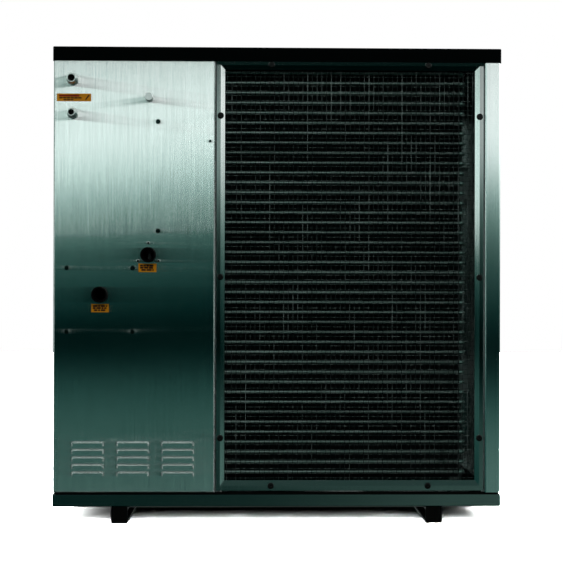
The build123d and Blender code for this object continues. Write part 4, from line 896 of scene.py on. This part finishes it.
def seal(low, high, bore):
    """A rubber seal inside a gland, with a funnel down to a pinhole: its vertices and faces."""
    x = (low.x + high.x) / 2
    z = (low.z + high.z) / 2
    rings = len(SEAL_PROFILE)
    vertices = []
    for share, depth in SEAL_PROFILE:
        radius = max(bore * share, SEAL_PINHOLE)
        for side in range(SEAL_SIDES):
            angle = math.tau * side / SEAL_SIDES
            vertices.append((x + radius * math.cos(angle), low.y + depth * MM, z + radius * math.sin(angle)))
    faces = []
    for ring in range(rings):
        for side in range(SEAL_SIDES):
            beside = (side + 1) % SEAL_SIDES
            far = (ring + 1) % rings
            faces.append((
                ring * SEAL_SIDES + side, far * SEAL_SIDES + side,
                far * SEAL_SIDES + beside, ring * SEAL_SIDES + beside,
            ))
    return vertices, faces


SEAL_BORES = (7.2 * MM, 8.7 * MM)


def build_seals():
    """The seal that each cable gland closes round its cable; the lower gland is the smaller."""
    glands = sorted(islands("cable_glands"), key=lambda box: box[0].y)[:len(SEAL_BORES)]
    glands.sort(key=lambda box: box[0].z)
    seals = [seal(low, high, bore) for (low, high), bore in zip(glands, SEAL_BORES)]
    vertices, faces = joined(seals)
    add_piece("gland_seals", vertices, faces, rubber("seal_rubber", (0.003, 0.003, 0.003), 0.8), "cabinet",
              smooth=True)


PRINT_RISE = 0.08 * MM


def bar(x, z, width, height, face, slant=0.0):
    """A printed bar with bevelled ends, standing a hair off the label: its vertices and faces."""
    cut = min(width, height) * 0.3
    outline = [
        (-width / 2 + cut, -height / 2), (width / 2 - cut, -height / 2), (width / 2, -height / 2 + cut),
        (width / 2, height / 2 - cut), (width / 2 - cut, height / 2), (-width / 2 + cut, height / 2),
        (-width / 2, height / 2 - cut), (-width / 2, -height / 2 + cut),
    ]
    turned = [
        (x + u * math.cos(slant) - v * math.sin(slant), z + u * math.sin(slant) + v * math.cos(slant))
        for u, v in outline
    ]
    count = len(turned)
    vertices = [(u, face, v) for u, v in turned] + [(u, face - PRINT_RISE, v) for u, v in turned]
    faces = [tuple(range(count)), tuple(range(2 * count - 1, count - 1, -1))]
    faces += [(i, i + count, (i + 1) % count + count, (i + 1) % count) for i in range(count)]
    return vertices, faces


def joined(parts):
    """Several (vertices, faces) as one."""
    vertices = []
    faces = []
    for more_vertices, more_faces in parts:
        start = len(vertices)
        vertices += more_vertices
        faces += [tuple(start + i for i in face) for face in more_faces]
    return vertices, faces


LABEL_ROWS = 3
FULL_ROW = 0.84
LAST_ROW = 0.7
ROW_HEIGHT = 0.2
BAR_GAP = 0.03
BAR_LENGTHS = (0.12, 0.3)
SHORTEST_BAR = 0.08


def label_rows(low, high):
    """Plain bars in rows, where a real label would have its print."""
    width = high.x - low.x
    height = high.z - low.z
    middle = (low.x + high.x) / 2
    bars = []
    for row in range(LABEL_ROWS):
        z = high.z - height * (row + 1) / (LABEL_ROWS + 1)
        line = width * (FULL_ROW if row < LABEL_ROWS - 1 else LAST_ROW)
        left = middle - line / 2
        while line > width * SHORTEST_BAR:
            length = min(line, width * random.uniform(*BAR_LENGTHS))
            bars.append(bar(left + length / 2, z, length, height * ROW_HEIGHT, low.y))
            left += length + width * BAR_GAP
            line -= length + width * BAR_GAP
    return bars


def build_label_print():
    """Generic bars on the three amber labels. The wide one has a band, two rows and a slash, placed by
    shares of its width and height."""
    boxes = islands("labels")
    wide = max(boxes, key=lambda box: box[1].x - box[0].x)
    dark = ink("print_brown", linear(30, 8, 2))
    bright = ink("print_red", linear(140, 34, 4))
    small = [label_rows(*box) for box in boxes if box is not wide]
    low, high = wide
    width = high.x - low.x
    height = high.z - low.z
    middle = (low.z + high.z) / 2
    rows = []
    for start, step, drop, tall, count in ((0.12, 0.11, 0.06, 0.17, 6), (0.24, 0.1, 0.32, 0.14, 3)):
        for index in range(count):
            x = low.x + width * (start + step * index)
            long = width * (step - 0.01)
            rows.append(bar(x, middle - height * drop, long, height * tall, low.y))
    slash = [bar(high.x - width * 0.11, middle, height * 0.8, height * 0.16, low.y, math.radians(52))]
    vertices, faces = joined(sum(small, []) + rows + slash)
    add_piece("label_print", vertices, faces, dark, "cabinet")
    band = [bar(low.x + width * 0.36, middle + height * 0.22, width * 0.6, height * 0.24, low.y)]
    vertices, faces = joined(band)
    add_piece("label_band", vertices, faces, bright, "cabinet")


make_camera()
make_world()
make_key_light()
make_floor()
dress_nodes()
build_fins()
build_guard()
build_seals()
build_label_print()
bpy.context.scene.view_settings.view_transform = "Standard"
